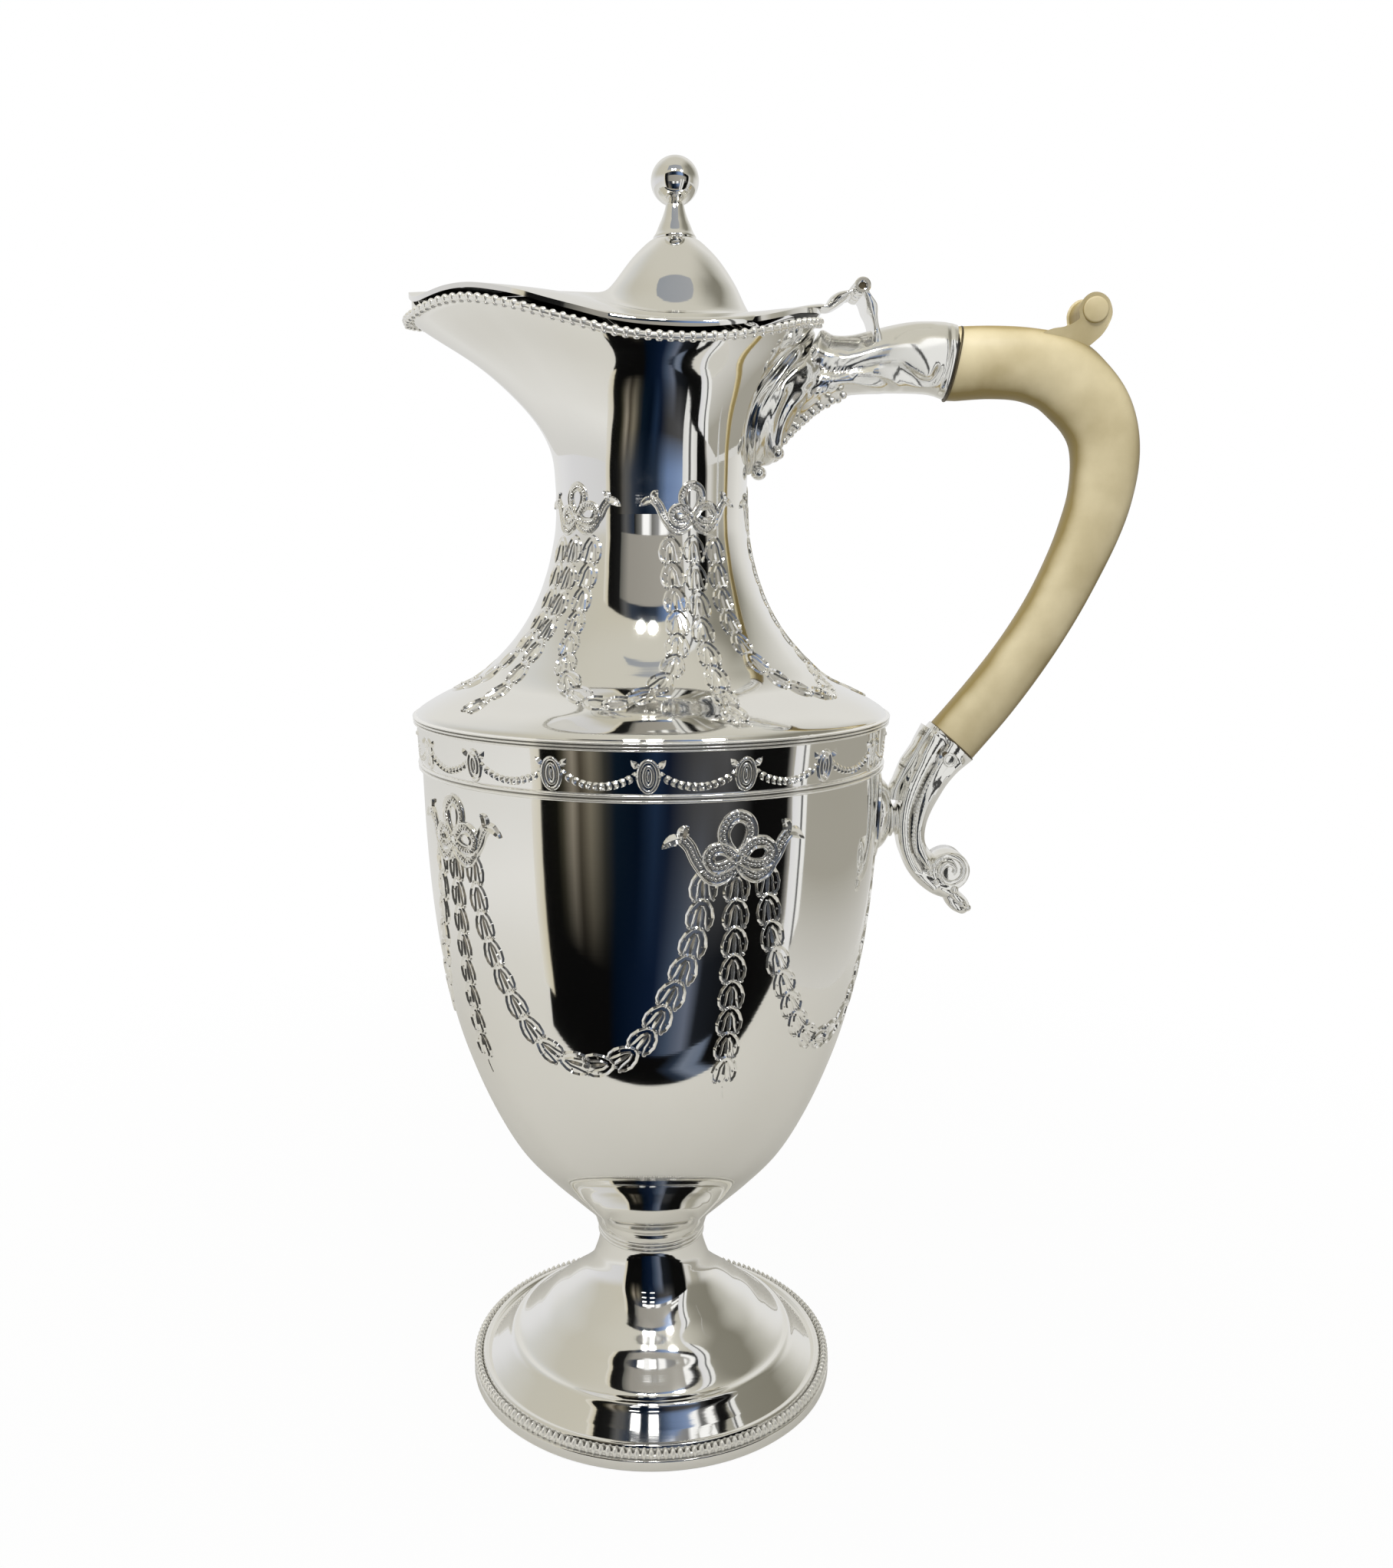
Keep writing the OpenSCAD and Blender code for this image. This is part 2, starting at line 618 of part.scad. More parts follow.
function leaf_at(across, up, lift) =
    let (w = (up + 1) / 2,
        t = across * leaf_top_half * along(leaf_half_shares, w),
        v = mix(leaf_low_share, leaf_high_share, w))
    mouth_at(t, v) + (seat_gap + lift) * mouth_normal(t, v);
function leaf_ring(size, lift) =
    [for (j = [0:branch_sides - 1])
        let (a = 360 * j / branch_sides)
        leaf_at(size * cos(a), size * sin(a), lift)];
function arm_ring(s) =
    let (x = mix(rear_reach, upper_joint[0], s[0]),
        half = grip_t / 2,
        top = upper_joint[1] + half * s[1],
        low = upper_joint[1] + half * s[2])
    oval([x, (top + low) / 2], (top - low) / 2, grip_w / 2 * s[3], 0, branch_sides);
function mix_ring(a, b, u) = [for (j = [0:len(a) - 1]) mix(a[j], b[j], u)];

module upper_socket() {
    first = arm_ring(arm_shares[0]);
    raised = leaf_ring(1, sheet_t);
    color(silver)
    difference() {
        loft(concat(
            [leaf_ring(0.35, 0), leaf_ring(0.7, 0), leaf_ring(1, 0), raised,
                mix_ring(raised, first, 0.3), mix_ring(raised, first, 0.65)],
            [for (s = arm_shares) arm_ring(s)],
            [oval(upper_joint, grip_t / 2, grip_w / 2 + sheet_t / 3, upper_tilt,
                branch_sides)]));
        rod(upper_joint - over * lean_dir(upper_lean), upper_lean, tenon_r + tenon_gap,
            upper_tenon_l + 3 * tenon_gap + over);
        pin_along_y(upper_rivet, rivet_r + tenon_gap / 2, 2 * grip_w);
        translate([stand_foot[0] - stand_t / 2 - seat_gap, -stand_base_w / 2 - seat_gap,
            stand_foot[1] - seat_gap])
        cube([stand_t + 2 * seat_gap, stand_base_w + 2 * seat_gap, hinge_up]);
    }
}

module upper_socket_pin() {
    color(pale_silver)
    pin_along_y(upper_rivet, rivet_r, grip_w + 2 * sheet_t / 3);
}

// Lower branch: a socket, an arm that bends down to a scroll, and a leaf tail
plate_face = bowl_r + plate_t;
strut_z = lower_joint[1] - strut_drop;
arm_end_x = bowl_r + lower_reach * 0.37;
// Middle line of the arm under the joint: [outward, down] in reaches and drops, and its thickness
drop_shares = [[0.84, 0.35, 1.15], [0.72, 0.57, 1.05], [0.54, 0.9, 1.02], [0.51, 1.3, 0.98],
    [0.57, 1.56, 0.95], [0.77, 1.78, 0.92], [1, 1.93, 0.86], [1.2, 2.1, 0.75],
    [1.4, 2.24, 0.35]];
scroll_at = [bowl_r + lower_reach * 1.02, lower_joint[1] - strut_drop * 1.65];

module lower_socket() {
    sides = 14;
    stations = [for (s = drop_shares)
        [bowl_r + lower_reach * s[0], lower_joint[1] - strut_drop * s[1], arm_t * s[2]]];
    line = smooth(concat([[lower_joint[0], lower_joint[1], lower_t]], stations), 2);
    last = len(line) - 1;
    color(silver)
    difference() {
        union() {
            loft([for (i = [0:last])
                let (d = line[min(last, i + 1)] - line[max(0, i - 1)],
                    lean = atan2(d[0], d[1]),
                    tilt = i == 0 ? lower_tilt : (lean < 0 ? lean + 360 : lean) - 90,
                    w = grip_w / 2 * (i == 0 ? 0.96 : mix(0.92, 0.6, i / last)))
                oval([line[i][0], line[i][1]], line[i][2] / 2, w, tilt, sides)]);
            pin_along_y(scroll_at, scroll_r, grip_w * 0.75, $fn = 64);
        }
        rod(lower_joint - over * lean_dir(lower_lean), lower_lean, tenon_r + tenon_gap,
            lower_tenon_l + 3 * tenon_gap + over);
        pin_along_y(lower_rivet, rivet_r + tenon_gap / 2, 2 * grip_w);
        translate([plate_face - over, 0, strut_z])
        rotate([0, 90, 0])
        cylinder(r = strut_r + seat_gap, h = arm_end_x - plate_face + over);
    }
}

module lower_socket_pin() {
    color(pale_silver)
    pin_along_y(lower_rivet, rivet_r, grip_w * 0.93);
}

// Turned strut with a bead at its middle
strut_l = arm_end_x - plate_face;
strut_shares = [[0.85, 0], [1, 0.1], [1, 0.22], [0.78, 0.3], [0.82, 0.42], [0.95, 0.52],
    [0.82, 0.62], [0.78, 0.7], [1, 0.8], [1, 1]];

module handle_strut() {
    color(pale_silver)
    translate([plate_face, 0, strut_z])
    rotate([0, 90, 0])
    rotate_extrude()
    polygon(concat([[0, 0]],
        [for (s = strut_shares) [strut_r * s[0], strut_l * s[1]]], [[0, strut_l]]));
}

// Oval plate on the bowl, domed, with a flat middle where the strut is fixed
plate_edge_t = plate_t * 0.3;
plate_z = strut_z + plate_h * 0.06;

function plate_ring(size, lift) =
    [for (j = [0:branch_sides - 1])
        let (a = 360 * j / branch_sides,
            z = plate_z + size * plate_h / 2 * sin(a),
            r = bowl_r_at(z) + seat_gap + lift,
            t = asin(size * plate_w / 2 * cos(a) / bowl_r))
        [min(r * cos(t), lift > plate_edge_t ? plate_face : r), r * sin(t), z]];

module body_plate() {
    dome = plate_t * 1.5;
    color(silver)
    loft(concat(
        [for (s = [0.3, 0.65, 1]) plate_ring(s, 0)],
        [plate_ring(1, plate_edge_t)],
        [for (s = [0.88, 0.7, 0.5, 0.25])
            plate_ring(s, plate_edge_t + dome * (1 - s ^ 2))]));
}

// Lid: a dome about the finial's axis that runs out into the spout and to the lip's edge
lid_inset = 0.6;
ridge_power = 1.5;
blend_l = dome_h * 0.11;
// Dome as shares, [radius, height]
dome_shares = [[0.15, 1], [0.28, 1], [0.417, 0.902], [0.606, 0.705], [0.8, 0.421], [0.917, 0.18],
    [1, 0], [1.15, -0.4]];
// Where the rows of the flange lie between the dome and the edge
flange_shares = [0.12, 0.28, 0.46, 0.66, 0.84, 1];
dome_foot_z = z_lip + dome_lift;
seat_z = dome_foot_z + dome_h;

function blend_max(a, b, k) = max(a, b) + k * ln(1 + exp(-abs(a - b) / k));
function lid_low_z(t) = edge_z(t) + lid_gap * (1 - 0.72 * tip_share(t));
function edge_vector(t) = lip_xy(t, lid_inset) - [dome_x, 0];
function lid_top(t, r) =
    let (reach = norm(edge_vector(t)),
        q = max(0, (r - dome_r) / (reach - dome_r)),
        foot = dome_foot_z - lid_t + spout_ridge * max(0, -cos(t)) ^ ridge_power,
        flange = mix(foot, lid_low_z(t) + lid_t, min(1, q)) + 2 * lid_t * q * (1 - q),
        dome = dome_foot_z + dome_h * along(dome_shares, r / dome_r))
    r <= dome_shares[1][0] * dome_r ? seat_z : q >= 1 ? flange : blend_max(dome, flange, blend_l);
// Outer curve of the lid at an angle, [distance from the finial's axis, height]
function lid_curve(t) =
    let (reach = norm(edge_vector(t)))
    concat([for (p = dome_shares) if (p[0] <= 1) [dome_r * p[0], lid_top(t, dome_r * p[0])]],
        [for (q = flange_shares) let (r = mix(dome_r, reach, q)) [r, lid_top(t, r)]]);
function lid_inner(t) =
    let (p = lid_curve(t), m = moved(p, -lid_t), last = len(p) - 1)
    [for (i = [0:last])
        i < 2 || i == last ? p[i] - [0, lid_t] : m[i]];
function lid_point(t, p) =
    let (e = unit(edge_vector(t)))
    [dome_x + p[0] * e[0], p[0] * e[1], p[1]];

lid_sides = 48;

module lid() {
    loops = [for (j = [0:lid_sides - 1])
        let (t = 360 * j / lid_sides)
        [for (p = concat(back(lid_curve(t)), lid_inner(t))) lid_point(t, p)]];
    color(silver)
    ring_shell([for (k = [0:len(loops[0]) - 1]) [for (j = [0:lid_sides - 1]) loops[j][k]]]);
}

// Leaf on the lid behind the dome, with the lid's knuckles
lid_back_x = rear_reach - lid_inset;
function lid_top_at(x, y) =
    let (r = norm([x - dome_x, y]),
        t = atan2(y / mouth_half_w, (x - mouth_mid) / (rear_reach - mouth_mid)))
    lid_top(t, r);
// Stations of the leaf: [place from its tip to the edge, half width, thickness] as shares
leaf_shares = [[0, 0.1, 0.5], [0.12, 0.3, 0.9], [0.35, 0.5, 1], [0.6, 0.42, 1], [0.8, 0.5, 1],
    [1, 0.62, 1]];

module lid_hinge_leaf() {
    low_end = hinge_at + [-0.35, -0.9] * knuckle_r;
    edge_x = lid_back_x + lid_t;
    edge_low = lid_top_at(lid_back_x, 0) + seat_gap;
    over_lid = [for (s = leaf_shares)
        let (x = lid_back_x - leaf_l * (1 - s[0]),
            w = hinge_w / 2 * s[1],
            th = leaf_t * s[2])
        [for (c = [[-1, 0], [0, 0], [1, 0], [1, 0.5], [0.5, 0.9], [0, 1], [-0.5, 0.9], [-1, 0.5]])
            [x, w * c[0], lid_top_at(x, w * c[0]) + seat_gap + th * c[1]]]];
    arm = [for (u = [0.15, 0.5, 1])
        let (p = mix([edge_x, edge_low], low_end, u),
            w = mix(hinge_w * 0.4, hinge_w / 2, min(1, 3 * u)),
            th = mix(leaf_t * 1.3, knuckle_r * 1.4, u))
        [for (c = [[-1, 0], [0, 0], [1, 0], [1, 0.7], [0.5, 0.95], [0, 1], [-0.5, 0.95],
            [-1, 0.7]])
            [p[0] - th * 0.3 * c[1], w * c[0], p[1] + th * c[1]]]];
    color(pale_silver)
    difference() {
        union() {
            loft(concat(over_lid, arm));
            knuckle_row(1, -2 * knuckle_gap, knuckle_r);
        }
        knuckle_row(0, 0, knuckle_r + 2 * knuckle_gap);
        for (s = [-1, 1])
            translate([hinge_at[0], s * (hinge_w / 2 - knuckle_w / 4), hinge_at[1]])
            rotate([90, 0, 0])
            cylinder(r = knuckle_r + 2 * knuckle_gap, h = knuckle_w, center = true);
        pin_along_y(hinge_at, pin_r + run_gap, hinge_w + over);
    }
}

// Finial: a ball on a turned neck and a spreading base, with a stud, a washer and a nut
finial_shares = [[1, 0], [1, 0.03], [0.88, 0.08], [0.74, 0.17], [0.58, 0.27], [0.47, 0.36],
    [0.42, 0.42]];
ball_z = seat_z + finial_h - ball_r;
stud_hole_r = dome_shares[0][0] * dome_r;
stud_end = seat_z - lid_t - nut_h * 1.5 - lid_t;

module on_finial_axis() {
    translate([dome_x, 0, 0])
    children();
}

module finial() {
    neck = [for (p = smooth(finial_shares, 3)) [finial_base_r * p[0], seat_z + finial_h * p[1]]];
    start = asin(neck[len(neck) - 1][0] / ball_r);
    color(silver)
    on_finial_axis()
    rotate_extrude()
    polygon(concat([[0, stud_end], [stud_r, stud_end], [stud_r, seat_z]], neck,
        [for (a = [180 - start:-6:1]) [ball_r * sin(a), ball_z + ball_r * cos(a)]],
        [[0, ball_z + ball_r]]));
}

module finial_washer() {
    color(pale_silver)
    on_finial_axis()
    translate([0, 0, seat_z - 2 * lid_t])
    difference() {
        cylinder(r = finial_base_r * 0.92, h = lid_t);
        translate([0, 0, -over])
        cylinder(r = stud_r + tenon_gap, h = lid_t + 2 * over);
    }
}

module finial_nut() {
    color(pale_silver)
    on_finial_axis()
    translate([0, 0, seat_z - 2 * lid_t - nut_h])
    difference() {
        cylinder(r = nut_r, h = nut_h, $fn = 6);
        translate([0, 0, -over])
        cylinder(r = stud_r + tenon_gap / 2, h = nut_h + 2 * over);
    }
}

foot();
foot_bead_wire();
stem_collar();
bowl();
frieze_band();
band_upper_moulding();
band_lower_moulding();
shoulder();
mouth();
lip_bead_wire();
upper_socket();
hinge_stand();
hinge_pin();
upper_socket_pin();
handle_grip();
lower_socket();
lower_socket_pin();
handle_strut();
body_plate();
lid();
lid_hinge_leaf();
finial();
finial_washer();
finial_nut();
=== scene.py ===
import bpy
import numpy as np
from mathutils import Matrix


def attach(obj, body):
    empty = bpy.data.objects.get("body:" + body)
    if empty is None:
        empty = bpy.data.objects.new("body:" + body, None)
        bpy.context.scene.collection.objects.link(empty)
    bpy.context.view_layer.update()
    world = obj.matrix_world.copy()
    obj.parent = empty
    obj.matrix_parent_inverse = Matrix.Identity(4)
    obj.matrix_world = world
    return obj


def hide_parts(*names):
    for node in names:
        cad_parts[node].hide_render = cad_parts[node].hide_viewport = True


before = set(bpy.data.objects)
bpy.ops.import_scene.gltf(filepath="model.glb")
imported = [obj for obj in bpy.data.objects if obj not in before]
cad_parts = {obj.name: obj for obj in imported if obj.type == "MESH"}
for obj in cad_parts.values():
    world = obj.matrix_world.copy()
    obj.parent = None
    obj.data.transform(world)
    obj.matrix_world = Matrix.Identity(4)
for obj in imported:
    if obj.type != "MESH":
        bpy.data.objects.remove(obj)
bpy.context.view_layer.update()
MM = 0.001

# FOOT
# One spun piece of silver sheet, hollow underneath, that rests on a narrow ring. A step and a
# concave flare lead up to the stem.
foot_h, foot_r, stem_r = 40.2, 47.4, 13.2
foot_wall, rim_h, rest_w, foot_bead_r = 1.4, 2.8, 2.0, 1.1
foot_shares = [[0.82, 0.16], [0.735, 0.225], [0.69, 0.262], [0.63, 0.284], [0.505, 0.373],
               [0.406, 0.448], [0.257, 0.547], [0.105, 0.672], [0.038, 0.796], [0.01, 0.896],
               [0, 1]]


def smooth(points, n):
    """Curve through points: n steps of a cubic from each point to the next, whose slope at a
    point is half the step from the point before to the point after."""
    p = np.array(points, float)
    last = len(p) - 1
    i = np.arange(last)
    a, b, c, d = p[np.maximum(i - 1, 0)], p[i], p[i + 1], p[np.minimum(i + 2, last)]
    u = (np.arange(n) / n)[None, :, None]
    a, b, c, d = (q[:, None, :] for q in (a, b, c, d))
    curve = 0.5 * (2 * b + (c - a) * u + (2 * a - 5 * b + 4 * c - d) * u**2
                   + (3 * b - a - 3 * c + d) * u**3)
    return np.vstack([curve.reshape(-1, p.shape[1]), p[last]])


def run_up(steps):
    """Running total of steps, from 0."""
    return np.concatenate([[0], np.cumsum(steps)])


def moved(p, dist):
    """Curve moved to its left side: each point goes by dist square to the line between its
    neighbours."""
    d = np.gradient(p, axis=0)
    return p + dist * np.stack([-d[:, 1], d[:, 0]], 1) / np.linalg.norm(d, axis=1)[:, None]


def grid_faces(rows, cols, close_rows=False, close_cols=False):
    """Four-sided faces between neighbours of a grid of points, joined round where asked."""
    i = np.arange(rows if close_rows else rows - 1)[:, None]
    j = np.arange(cols if close_cols else cols - 1)[None, :]
    k, m = (i + 1) % rows, (j + 1) % cols
    return np.stack([i * cols + j, i * cols + m, k * cols + m, k * cols + j], -1).reshape(-1, 4)


def put(name, data):
    """Object of the scene with this data."""
    made = bpy.data.objects.new(name, data)
    bpy.context.scene.collection.objects.link(made)
    return made


def piece(name, points, faces, finish, body, slot, replaces=(), crease=35.0, outwards=True):
    """Mesh object of points in millimetres. Edges sharper than crease degrees stay sharp."""
    mesh = bpy.data.meshes.new(name)
    mesh.from_pydata((np.asarray(points) * MM).tolist(), [], [list(f) for f in faces])
    mesh.validate()
    made = put(name, mesh)
    if outwards:
        point_outwards(mesh)
    mesh.shade_smooth()
    mesh.set_sharp_from_angle(angle=np.radians(crease))
    mesh.materials.append(finish)
    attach(made, body)
    if replaces:
        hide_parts(*replaces)
    return made


def point_outwards(mesh):
    """Merges doubles and turns every face of a closed shell outwards."""
    import bmesh
    work = bmesh.new()
    work.from_mesh(mesh)
    bmesh.ops.remove_doubles(work, verts=work.verts, dist=1e-6)
    bmesh.ops.recalc_face_normals(work, faces=work.faces)
    work.to_mesh(mesh)
    work.free()


def turned(outline, sides):
    """Points of a closed outline, [radius, height], carried round the Z axis, and its faces."""
    a = np.linspace(0, 2 * np.pi, sides, endpoint=False)
    o = np.asarray(outline, float)
    points = np.stack([np.outer(o[:, 0], np.cos(a)), np.outer(o[:, 0], np.sin(a)),
                       np.repeat(o[:, 1:2], sides, 1)], -1).reshape(-1, 3)
    return points, grid_faces(len(o), sides, close_rows=True, close_cols=True)


def add_node(tree, kind, at, **values):
    """Node of a material with its settings and the values of its named inputs."""
    node = tree.nodes.new(kind)
    node.location = at
    for key, value in values.items():
        if key in node.inputs:
            node.inputs[key].default_value = value
        else:
            setattr(node, key, value)
    return node


def link(source, output, target, into):
    """Joins an output of a node to an input of another."""
    source.id_data.links.new(source.outputs[output], target.inputs[into])


def spread(source, output, at, low, high, to_low=0.0, to_high=1.0, kind="LINEAR"):
    """Map range node on an output: low becomes to_low and high becomes to_high."""
    node = add_node(source.id_data, "ShaderNodeMapRange", at, interpolation_type=kind)
    for key, number in (("From Min", low), ("From Max", high), ("To Min", to_low),
                        ("To Max", to_high)):
        node.inputs[key].default_value = number
    link(source, output, node, "Value")
    return node


def new_finish(name):
    """Material with nodes, its tree and its shader."""
    material = bpy.data.materials.new(name)
    material.use_nodes = True
    return material, material.node_tree, material.node_tree.nodes["Principled BSDF"]


def polished_silver(name, tone, rough, scratch, hammer=0.0, pit=0.0, tarnish=0.0, frost=0.0):
    """Polished silver: fine scratches that lie round the piece, a soft unevenness left by the
    hammer, a little duller in patches, pits between the ornament where it is cast, dark
    tarnish left by polishing in the hollows, and frost, the share that stays white and matt."""
    material, tree, shader = new_finish(name)
    shader.inputs["Metallic"].default_value = 1.0 - frost
    place = add_node(tree, "ShaderNodeTexCoord", (-1300, 0))
    round_it = add_node(tree, "ShaderNodeMapping", (-1100, 150), Scale=(60, 60, 2200))
    fine = add_node(tree, "ShaderNodeTexNoise", (-900, 150), Scale=1.0, Detail=3.0)
    patches = add_node(tree, "ShaderNodeTexNoise", (-900, -100), Scale=38.0, Detail=4.0)
    low = add_node(tree, "ShaderNodeTexNoise", (-900, -350), Scale=120.0, Detail=1.0)
    link(place, "Object", round_it, "Vector")
    link(round_it, "Vector", fine, "Vector")
    link(place, "Object", patches, "Vector")
    link(place, "Object", low, "Vector")
    dull = spread(patches, "Fac", (-600, -100), 0, 1, rough * 0.6, rough * 1.5)
    link(dull, "Result", shader, "Roughness")
    tint = add_node(tree, "ShaderNodeMix", (-600, 300), data_type="RGBA", A=(*tone, 1),
                    B=(tone[0] * 0.965, tone[1] * 0.96, tone[2] * 0.94, 1))
    link(patches, "Fac", tint, "Factor")
    if tarnish:
        hollow = add_node(tree, "ShaderNodeNewGeometry", (-900, 700))
        depth = spread(hollow, "Pointiness", (-600, 600), 0.495, 0.42, 0, tarnish)
        aged = add_node(tree, "ShaderNodeMix", (-350, 400), data_type="RGBA",
                        B=(0.09, 0.075, 0.05, 1))
        link(depth, "Result", aged, "Factor")
        link(tint, "Result", aged, "A")
        tint = aged
    link(tint, "Result", shader, "Base Color")
    bump = add_node(tree, "ShaderNodeBump", (-300, 100), Strength=scratch, Distance=0.00002)
    wave = add_node(tree, "ShaderNodeBump", (-300, -200), Strength=hammer, Distance=0.0004)
    link(fine, "Fac", bump, "Height")
    link(low, "Fac", wave, "Height")
    link(wave, "Normal", bump, "Normal")
    if pit:
        grains = add_node(tree, "ShaderNodeTexVoronoi", (-900, -600), Scale=1900.0)
        pits = add_node(tree, "ShaderNodeBump", (-500, -450), Strength=pit, Distance=0.00015)
        link(place, "Object", grains, "Vector")
        link(grains, "Distance", pits, "Height")
        link(pits, "Normal", wave, "Normal")
    link(bump, "Normal", shader, "Normal")
    return material


silver_tone = (0.95, 0.945, 0.925)
sheet_silver = polished_silver("sheet_silver", silver_tone, 0.05, 0.12, hammer=0.02)
rebate_r = foot_r - 2 * foot_bead_r
stem_hole_r = stem_r - foot_wall
foot_outline = smooth([[stem_r + (foot_r - stem_r) * a, foot_h * b] for a, b in foot_shares], 10)
foot_inside = moved(foot_outline, foot_wall)
foot_inside[:, 0] = np.maximum(foot_inside[:, 0], stem_hole_r)
foot_inside = foot_inside[(foot_inside[:, 1] < foot_h - foot_wall) & (foot_inside[:, 1] > rim_h)]
foot_ring_r, ring_turn = 0.9 * foot_bead_r, np.radians(np.linspace(0, 160, 12))
foot_loop = np.vstack([
    [[foot_r - rest_w, 0], [foot_r - 0.3, 0], [foot_r, 0.3], [foot_r, rim_h * 0.9],
     [foot_r - 0.1, rim_h * 0.96], [foot_r - 0.3, rim_h], [rebate_r, rim_h]],
    np.stack([rebate_r + foot_ring_r * (np.cos(ring_turn) - 1),
              rim_h + 1.45 * foot_bead_r + foot_ring_r * np.sin(ring_turn)], 1),
    foot_outline, [[stem_hole_r, foot_h]], foot_inside[::-1],
    [[rebate_r - foot_wall, rim_h], [rebate_r - foot_wall, rim_h / 2],
     [foot_r - rest_w, rim_h / 2]]])
foot_sides = 192
piece("foot_shell", *turned(foot_loop, foot_sides), sheet_silver, "jug", "silver_sheet",
      ["foot"])

# FOOT BEADS
# Beaded wire, drawn between rollers so that it looks like a string of beads, soldered into the
# corner of the foot's rim.


def bead_shape(around, rows):
    """Ball of rows by around faces with a radius of 1: rings of points between two poles."""
    lat = np.linspace(-np.pi / 2, np.pi / 2, rows + 1)[1:-1]
    lon = np.linspace(0, 2 * np.pi, around, endpoint=False)
    ring = np.stack([np.outer(np.cos(lat), np.cos(lon)), np.outer(np.cos(lat), np.sin(lon)),
                     np.repeat(np.sin(lat)[:, None], around, 1)], -1).reshape(-1, 3)
    points = np.vstack([ring, [[0, 0, -1], [0, 0, 1]]])
    low, high = len(points) - 2, len(points) - 1
    j = np.arange(around)
    k = (j + 1) % around
    top = (rows - 2) * around
    faces = [list(f) for f in grid_faces(rows - 1, around, close_cols=True)]
    faces += [[low, b, a] for a, b in zip(j, k)] + [[top + a, top + b, high] for a, b in zip(j, k)]
    return points, faces


def repeated(shape, places):
    """One mesh of many copies of a shape. Each place is a 3 by 3 frame of scaled axes, in
    columns, and a centre."""
    points, faces = shape
    axes = np.array([a for a, _ in places])
    centres = np.array([c for _, c in places])
    all_points = (np.einsum("nij,pj->npi", axes, points) + centres[:, None, :]).reshape(-1, 3)
    return all_points, [[v + n * len(points) for v in f] for n in range(len(places))
                        for f in faces]


def joined(*parts):
    """Several sets of points and faces as one."""
    points, faces, start = [], [], 0
    for p, f in parts:
        points.append(np.asarray(p, float))
        faces += [[v + start for v in face] for face in f]
        start += len(p)
    return np.vstack(points), faces


def tube(path, radius, sides, closed=False, beside=(0, 0, 1.0)):
    """Round tube along a path: a ring of sides points square to the path at each point. Beside
    is a direction that the path never takes."""
    p = np.asarray(path, float)
    d = np.roll(p, -1, 0) - np.roll(p, 1, 0) if closed else np.gradient(p, axis=0)
    d /= np.linalg.norm(d, axis=1)[:, None]
    side = np.cross(d, beside)
    side /= np.linalg.norm(side, axis=1)[:, None]
    over = np.cross(side, d)
    a = np.linspace(0, 2 * np.pi, sides, endpoint=False)
    r = np.broadcast_to(np.asarray(radius, float), (len(p),))[:, None, None]
    points = p[:, None] + r * (np.cos(a)[None, :, None] * side[:, None]
                               + np.sin(a)[None, :, None] * over[:, None])
    faces = [list(f) for f in grid_faces(len(p), sides, close_rows=closed, close_cols=True)]
    if not closed:
        faces += [list(range(sides))[::-1], list(range((len(p) - 1) * sides, len(p) * sides))]
    return points.reshape(-1, 3), faces


foot_bead_count = 168
tooth = bead_shape(8, 5)
tooth[0][-1] *= 1.3
foot_bead_at = rebate_r + foot_bead_r
foot_places = []
for a in np.linspace(0, 2 * np.pi, foot_bead_count, endpoint=False):
    out, along = np.array([np.cos(a), np.sin(a), 0]), np.array([-np.sin(a), np.cos(a), 0])
    foot_places.append((np.stack([along * 0.72, out * 1.1, [0, 0, 1.25]], 1),
                        out * foot_bead_at + [0, 0, rim_h + foot_bead_r]))
ring_angles = np.linspace(0, 2 * np.pi, foot_sides, endpoint=False)
foot_core_r = 0.6
foot_core = tube(np.stack([foot_bead_at * np.cos(ring_angles), foot_bead_at * np.sin(ring_angles),
                           np.full(foot_sides, rim_h + foot_core_r)], 1), foot_core_r, 8,
                 closed=True)
tooth_silver = polished_silver("tooth_silver", silver_tone, 0.12, 0.05, tarnish=0.6, frost=0.5)
piece("foot_beads", *joined(repeated(tooth, foot_places), foot_core), tooth_silver,
      "jug", "silver_wire", ["foot_bead_wire"], crease=80)

# STEM COLLAR
# Three fine rings turned on one strip of silver and soldered round the top of the stem. They
# cover its seam with the bowl.
collar_h, collar_t, collar_rings = 3.0, 0.8, 3
collar_loop = [[stem_r - 0.4, foot_h - collar_h]]
for i in range(collar_rings):
    for a in np.radians(np.linspace(-80, 80, 9)):
        collar_loop.append([stem_r + collar_t * (0.5 + 0.5 * np.cos(a)),
                            foot_h - collar_h + (i + 0.5 + 0.5 * np.sin(a)) * collar_h / 3])
collar_loop.append([stem_r - 0.4, foot_h])
wire_silver = polished_silver("wire_silver", silver_tone, 0.07, 0.05, tarnish=0.35, frost=0.2)
piece("stem_rings", *turned(collar_loop, 128), wire_silver, "jug", "silver_wire",
      ["stem_collar"], crease=60)

